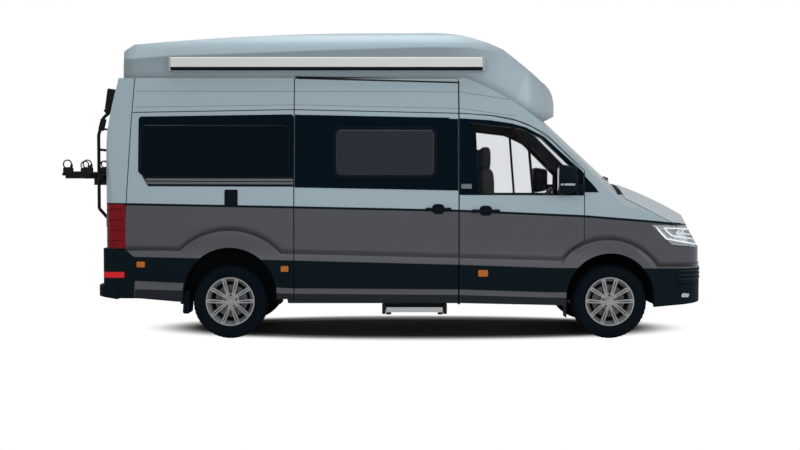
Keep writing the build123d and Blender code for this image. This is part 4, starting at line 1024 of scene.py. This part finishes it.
def touch(node_name, start, direction):
    """Point and normal where a ray first meets a CAD node."""
    mesh = nodes[node_name].data
    spots = [vert.co for vert in mesh.vertices]
    tree = BVHTree.FromPolygons(spots, [face.vertices for face in mesh.polygons])
    place, normal, _, _ = tree.ray_cast(Vector(start), Vector(direction))
    return place, normal


rib_count, rib_half, rib_pitch, grille_half, grille_back = 33, 0.0035, 0.031, 0.496, 2.6
ribs = []
for step in range(rib_count):
    y = -grille_half + step * rib_pitch
    rib = oblong(y - rib_half, y + rib_half, 0.69, 1.07)
    ribs.append(skin_patch("grille", rib, AHEAD, 0.016, 0.016, grille_back))
for z in (0.700, 0.732, 0.764, 0.796, 0.828, 0.896, 0.930, 1.000, 1.034):
    rib = oblong(-0.512, 0.512, z - rib_half, z + rib_half)
    ribs.append(skin_patch("grille", rib, AHEAD, 0.018, 0.018, grille_back))
finished("grille_ribs", together(*ribs), black_moulding, "body")
fog_lens = finish_material("fog_lens", (0.34, 0.36, 0.37), 0.2, coat=0.6)
slat_grey = finish_material("slat_edge", (0.008, 0.016, 0.021), 0.4, specular=0.2)
bezel_outline = rounded([(2.79, 0.385), (2.93, 0.380), (2.93, 0.452), (2.79, 0.460)], 0.015)
fog_outline = rounded([(2.826, 0.400), (2.900, 0.396), (2.916, 0.430), (2.842, 0.438)], 0.007)
for side_name, side, _ in sides:
    outward = Vector((0.45, 0.9 * side, 0.0)).normalized()
    bezel = skin_patch("bumper_apron", bezel_outline, outward, 0.002, 0.0018, 0.9)
    finished("fog_bezel_" + side_name, bezel, seal_black, "body")
    lens = skin_patch("bumper_apron", fog_outline, outward, 0.005, 0.0045, 0.9)
    finished("fog_lens_" + side_name, lens, fog_lens, "body")
    slats = []
    for z in (0.565, 0.605, 0.645):
        slat = [(2.80, z), (3.10, z - 0.004), (3.10, z + 0.012), (2.80, z + 0.012)]
        slats.append(skin_patch("bumper_apron", slat, outward, 0.006, 0.0055, 0.9))
    finished("corner_slats_" + side_name, together(*slats), slat_grey, "body")
intake_half, intake_inset, intake_pitch, intake_steps = 0.66, 0.042, 0.055, 25
intake = bmesh.new()
uprights = []
for step in range(intake_steps):
    y = -intake_half + step * intake_pitch
    place, _ = touch("bumper_apron", (far_off, y, 0.63), (-1, 0, 0))
    if place:
        uprights.append([intake.verts.new((place.x - intake_inset, y, z)) for z in (0.440, 0.590)])
for (foot, head), (next_foot, next_head) in zip(uprights, uprights[1:]):
    intake.faces.new((foot, next_foot, next_head, head))
bmesh.ops.solidify(intake, geom=intake.faces[:], thickness=0.003)
bmesh.ops.recalc_face_normals(intake, faces=intake.faces[:])
finished("intake_mesh", intake, black_moulding, "body")
plate_size = (0.006, 0.520, 0.112)
plate_white = finish_material("plate_white", (0.62, 0.62, 0.60), 0.4)
front_plate = rounded_slab(plate_size, (3.1395, 0.0, 0.538), 0.0028, 2)
finished("front_plate", front_plate, plate_white, "body")
plate_carrier = rounded_slab((0.030, 0.540, 0.134), (3.1215, 0.0, 0.540), 0.006, 2)
finished("plate_carrier", plate_carrier, black_moulding, "body")
tail_place, tail_normal = touch("rear_door_left", (-far_off, 0.40, 1.16), (1, 0, 0))
rear_plate = rounded_slab(plate_size, (tail_place.x - 0.006, 0.40, 1.16), 0.0028, 2, (0, tail_normal.z, 0))
finished("rear_plate", rear_plate, plate_white, "rear_door_left")

# ---------------------------------------------------------------- rear doors and tail lamps
# Gloss surrounds for the rear panes, hinges at the outer edges, a gasket in
# the gap, a pull on the first-opening door, and lines across the tail lamps.
dark_red = finish_material("dark_red", (0.045, 0.001, 0.002), 0.4, specular=0.1)
lamp_front, lamp_tail, line_rise = -2.50, -2.70, 0.012
lamp_edge_outline = oblong(-2.512, -2.484, 0.874, 1.283)
for side_name, side, facing in sides:
    door = "rear_door_" + side_name
    y0, y1 = sorted((side * 0.085, side * 0.705))
    surround = skin_patch(door, rounded(oblong(y0, y1, 1.430, 2.070), 0.045), ASTERN, *flush, 2.0)
    finished("rear_surround_" + side_name, surround, panel_black, door)
    hinges = []
    for z in (0.740, 1.420, 2.180):
        place, normal = touch(door, (-far_off, side * 0.775, z), (1, 0, 0))
        seat = (place.x - 0.008, side * 0.772, z)
        hinges.append(rounded_slab((0.022, 0.040, 0.090), seat, 0.006, 2, (0, normal.z, 0)))
    finished("rear_hinges_" + side_name, together(*hinges), seal_black, door)
    lines = []
    wrap = Vector((-0.6, 0.8 * side, 0.0))
    for z, half in ((1.235, 0.004), (1.135, 0.003), (1.035, 0.003), (0.940, 0.004)):
        line = [(lamp_tail, z - half), (lamp_front, z - half + line_rise), (lamp_front, z + half + line_rise),
                (lamp_tail, z + half)]
        lines.append(skin_patch("tail_lamps", line, wrap, 0.0006, 0.0005, 0.5))
    finished("lamp_lines_" + side_name, together(*lines), dark_red, "body")
    wings = []
    for panel in ("rear_frame", "side_wall_" + side_name):
        wings.append(skin_patch(panel, lamp_edge_outline, facing, 0.003, 0.0028, 0.7))
    finished("lamp_edge_" + side_name, together(*wings), red_lens, "body")
door_low, door_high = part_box("rear_door_right")
gap_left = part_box("rear_door_left")[0].y - 0.0004
gasket_steps, gasket_end = 24, 0.004
gasket = bmesh.new()
rings = []
for step in range(gasket_steps + 1):
    z = door_low.z + gasket_end + (door_high.z - door_low.z - 2 * gasket_end) * step / gasket_steps
    place, _ = touch("rear_door_right", (-far_off, door_high.y - 0.020, z), (1, 0, 0))
    if place:
        section = ((0.006, door_high.y), (0.024, door_high.y), (0.024, gap_left), (0.006, gap_left))
        rings.append([gasket.verts.new((place.x + inset, y, z)) for inset, y in section])
for first, second in zip(rings, rings[1:]):
    join_rings(gasket, first, second)
gasket.faces.new(rings[0][::-1])
gasket.faces.new(rings[-1])
bmesh.ops.recalc_face_normals(gasket, faces=gasket.faces[:])
finished("rear_door_gasket", gasket, seal_black, "rear_door_right")
pull_place, pull_normal = touch("rear_door_right", (-far_off, -0.060, 1.24), (1, 0, 0))
pull_seat = (pull_place.x - 0.012, -0.060, 1.24)
pull = rounded_slab((0.030, 0.036, 0.170), pull_seat, 0.010, 3, (0, pull_normal.z, 0))
finished("rear_handle", pull, seal_black, "rear_door_right")


# ---------------------------------------------------------------- cycle carrier fittings
# Wheel hoops and cups on the two rails, and hooks over the door's head, clamps
# and a cross tube on the uprights, all in satin black steel.
def tube(points, radius, sides=12):
    """Bmesh of a round bar that follows points, closed at its ends."""
    bm = bmesh.new()
    points = [Vector(point) for point in points]
    rings, aside = [], None
    for place, point in enumerate(points):
        ahead = (points[min(place + 1, len(points) - 1)] - points[max(place - 1, 0)]).normalized()
        aside = ahead.orthogonal() if aside is None else aside - ahead * aside.dot(ahead)
        aside.normalize()
        up = ahead.cross(aside)
        turns = [2 * pi * step / sides for step in range(sides)]
        rings.append([bm.verts.new(point + (aside * cos(turn) + up * sin(turn)) * radius) for turn in turns])
    for first, second in zip(rings, rings[1:]):
        join_rings(bm, first, second)
    bm.faces.new(rings[0][::-1])
    bm.faces.new(rings[-1])
    return bm


def hoop(x, y, radius, height=1.676, wire=0.0065, steps=24):
    """Wire ring that a cycle's wheel is strapped to."""
    turns = [2 * pi * step / steps for step in range(steps + 1)]
    return tube([(x + radius * sin(turn), y, height + radius * cos(turn)) for turn in turns], wire, 8)


hoop_stations, hoop_planes, upright_planes = (-3.098, -2.905), (-0.760, -0.105), (-0.700, -0.200)
fittings = []
for x in hoop_stations:
    for y in hoop_planes:
        fittings.append(hoop(x, y, 0.040))
        fittings.append(rounded_slab((0.098, 0.046, 0.062), (x + 0.007, y, 1.617), 0.014, 2))
        fittings.append(rounded_slab((0.022, 0.030, 0.028), (x + 0.040, y, 1.662), 0.006, 2))
for y in hoop_planes:
    fittings.append(rounded_slab((0.215, 0.032, 0.070), (-3.010, y, 1.572), 0.008, 2))
finished("wheel_hoops", together(*fittings), satin_black, "carrier_platform")
# size, place along and height, rounding and tilt of each clasp on an upright
clasp_rows = (
    ((0.085, 0.042, 0.205), -2.688, 2.308, 0.012, radians(8)),
    ((0.070, 0.050, 0.045), -2.716, 2.205, 0.010, radians(-40)),
    ((0.055, 0.046, 0.120), -2.770, 2.062, 0.012, radians(14)),
    ((0.050, 0.044, 0.060), -2.800, 1.560, 0.010, 0.0),
    ((0.030, 0.050, 0.075), -2.720, 1.100, 0.008, 0.0),
)
clasps = []
for y in upright_planes:
    for size, x, z, radius, tilt in clasp_rows:
        clasps.append(rounded_slab(size, (x, y, z), radius, 2, (0, tilt, 0)))
clasps.append(hoop(-2.752, -0.700, 0.032))
clasps.append(rounded_slab((0.070, 0.036, 0.046), (-2.770, -0.700, 1.622), 0.010, 2))
clasps.append(tube([(-2.752, -0.715, 2.020), (-2.752, -0.185, 2.020)], 0.010))
finished("carrier_clasps", together(*clasps), satin_black, "rear_door_right")

# ---------------------------------------------------------------- awning case
# Moulded end caps, the black rubber strip along the foot of the case, and the
# rubber seal between the roof and the sliding door's head.
end_grey = finish_material("awning_end_cap", (0.30, 0.31, 0.32), 0.5)
low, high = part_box("awning_case")
cap_size = (0.024, high.y - low.y + 0.004, high.z - low.z + 0.004)
caps = []
for x in (low.x + 0.008, high.x - 0.008):
    caps.append(rounded_slab(cap_size, (x, (low.y + high.y) / 2, (low.z + high.z) / 2), 0.008, 3))
finished("awning_end_caps", together(*caps), end_grey, "body")
strip_outline = oblong(low.x + 0.002, high.x - 0.002, low.z, low.z + 0.034)
strip = skin_patch("awning_case", strip_outline, RIGHT, 0.0025, 0.002, 0.5)
finished("awning_strip", strip, black_moulding, "body")
door_head = [(-0.872, 2.488), (0.700, 2.462), (0.700, 2.490), (-0.872, 2.516)]
door_gap = skin_patch("high_roof", door_head, RIGHT, 0.0025, 0.002, 0.8)
finished("sliding_door_seal", door_gap, seal_black, "body")


# ---------------------------------------------------------------- wipers and roof aerial
# Two wiper arms parked at the foot of the windscreen and a short aerial on
# the roof.
def on_screen(y, z, lift):
    """Point over the windscreen's outside."""
    place, normal = touch("windscreen", (far_off, y, z), (-1, 0, 0))
    return place + (normal if normal.x > 0 else -normal) * lift


blade_foot, blade_rise, blade_steps = 1.515, 0.030, 8
blades, arms = [], []
for hub_y, tip_y in ((0.640, 0.080), (-0.040, -0.600)):
    track = []
    for step in range(blade_steps + 1):
        share = step / blade_steps
        track.append(on_screen(hub_y + (tip_y - hub_y) * share, blade_foot + blade_rise * share, 0.012))
    blades.append(tube(track, 0.008, 8))
    hub = Vector((2.268, hub_y + 0.02, 1.500))
    elbow = (hub + track[1]) / 2 + Vector((0.014, 0, 0.012))
    reach = track[2] + Vector((0.018, 0, 0.010))
    arms.append(tube([hub, elbow, reach, track[4] + Vector((0.006, 0, 0.004))], 0.006, 8))
    arms.append(rounded_slab((0.034, 0.034, 0.030), hub, 0.010, 2))
finished("wiper_arms", together(*arms), satin_black, "body")
finished("wiper_blades", together(*blades), seal_black, "body")
roof_place, _ = touch("high_roof", (0.800, 0.0, far_off), (0, 0, -1))
tip_z = min(roof_place.z + 0.085, cad_box[1][2] - 0.006)
rod = tube([roof_place - Vector((0, 0, 0.004)), (0.752, 0.0, tip_z)], 0.0045, 8)
aerial = together(rod, rounded_slab((0.05, 0.036, 0.016), roof_place, 0.007, 2))
finished("roof_aerial", aerial, seal_black, "body")

# ---------------------------------------------------------------- entry step
# A ribbed rubber tread on the folding step, a bright nosing along its outer
# edge and moulded ends.
step_low, step_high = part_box("entry_step")
step_middle, step_length = (step_low.x + step_high.x) / 2, step_high.x - step_low.x
tread_count, tread_pitch = 9, 0.026
treads = []
for line in range(tread_count):
    place = (step_middle, step_low.y + 0.03 + tread_pitch * line, step_high.z + 0.0015)
    treads.append(slab((step_length - 0.03, 0.012, 0.004), place))
finished("step_tread", together(*treads), seal_black, "entry_step")
nosing_place = (step_middle, step_low.y + 0.006, step_high.z - 0.014)
nosing = rounded_slab((step_length + 0.004, 0.016, 0.036), nosing_place, 0.004, 2)
finished("step_nosing", nosing, step_alloy, "entry_step")
ends = []
for x in (step_low.x + 0.020, step_high.x - 0.020):
    ends.append(rounded_slab((0.050, 0.050, 0.075), (x, step_low.y + 0.035, step_high.z - 0.030), 0.006, 2))
finished("step_ends", together(*ends), seal_black, "entry_step")


# ---------------------------------------------------------------- cab seats
# Foam seats in ribbed cloth: crowned cushions, backs with side bolsters and
# headrests, sewn with two long seams each, on plain pedestals.
def pad(name, low_corner, high_corner, face_axis, bolster, round_off):
    """Crowned pad inside a box, its soft face towards +axis, with seams and side bolsters."""
    seam_place, seam_half, seam_depth = 0.56, 0.07, 0.10
    dip_depth, dip_half = 0.30, 0.70
    bm = bmesh.new()
    bmesh.ops.create_cube(bm, size=2.0)
    bmesh.ops.subdivide_edges(bm, edges=bm.edges[:], cuts=13, use_grid_fill=True)
    half = (Vector(high_corner) - Vector(low_corner)) / 2
    middle = (Vector(high_corner) + Vector(low_corner)) / 2
    for vert in bm.verts:
        u = vert.co.copy()
        length = (abs(u.x) ** round_off + abs(u.y) ** round_off + abs(u.z) ** round_off) ** (1 / round_off)
        u = u / length
        depth = abs(u[face_axis])
        if u[face_axis] > 0:
            across = abs(u.y)
            dip = dip_depth * bolster * (1 - min(1.0, (across / dip_half) ** 4)) * depth
            seam = max(0.0, 1 - abs(across - seam_place) / seam_half) * seam_depth
            u[face_axis] -= dip + seam * depth
        vert.co = Vector((middle.x + u.x * half.x, middle.y + u.y * half.y, middle.z + u.z * half.z))
    piece = finished(name, bm, cloth_grey, "body")
    smooth = piece.modifiers.new("smooth_foam", "SUBSURF")
    smooth.levels = smooth.render_levels = 1
    return piece


floor_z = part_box("cab_seats")[0].z
pedestals = []
for side_name, side, _ in sides:
    inner, outer = sorted((side * 0.190, side * 0.700))
    pedestals.append(rounded_slab((0.500, 0.430, 0.330), (1.2745, side * 0.445, floor_z + 0.165), 0.02, 2))
    cushion = ((0.9945, inner, floor_z + 0.320), (1.5545, outer, floor_z + 0.470))
    back = ((0.9145, inner, floor_z + 0.380), (1.0645, outer, floor_z + 1.080))
    headrest = ((0.9295, inner + 0.120, floor_z + 1.060), (1.0345, outer - 0.120, floor_z + 1.290))
    pad("seat_cushion_" + side_name, *cushion, 2, 1.0, 5)
    pad("seat_back_" + side_name, *back, 0, 1.0, 5)
    pad("headrest_" + side_name, *headrest, 0, 0.4, 4)
pedestal = finished("seat_pedestals", together(*pedestals), dash_grey, "body")
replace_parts(pedestal, "cab_seats")


# ---------------------------------------------------------------- sill skirts
# Dark mouldings that close the foot of the sills, before and behind the rear
# wheels.
def prism(outline, y0, y1):
    """Bmesh of an (x, z) outline carried from y0 to y1."""
    bm = bmesh.new()
    near = [bm.verts.new((x, y0, z)) for x, z in outline]
    far = [bm.verts.new((x, y1, z)) for x, z in outline]
    bm.faces.new(near)
    bm.faces.new(far[::-1])
    join_rings(bm, near, far)
    bmesh.ops.recalc_face_normals(bm, faces=bm.faces[:])
    return bm


# the skirts take the near black of the sill's painted shade
skirt_grey = finish_material("skirt_moulding", sill_shade_dark, 0.55, specular=0.15)
middle_outline = [(-0.955, 0.420), (-0.940, 0.342), (0.690, 0.342), (0.690, 0.400)]
behind_outline = [(-2.420, 0.400), (-2.420, 0.392), (-1.960, 0.352), (-1.950, 0.400)]
for side_name, side, _ in sides:
    middle = prism(middle_outline, side * 0.905, side * 0.968)
    behind = prism(behind_outline, side * 0.905, side * 0.962)
    finished("sill_skirt_" + side_name, together(middle, behind), skirt_grey, "body")

# ---------------------------------------------------------------- rear mud flaps
# Moulded rubber flaps behind the rear wheels, drawn down past the sills with
# a slight lean. They go over the plain flaps of the CAD part.
for side_name, side, _ in sides:
    flap = rounded_slab((0.066, 0.240, 0.230), (-1.920, side * 0.812, 0.350), 0.020, 3, (0, radians(4), 0))
    finished("rear_flap_" + side_name, flap, seal_black, "body")
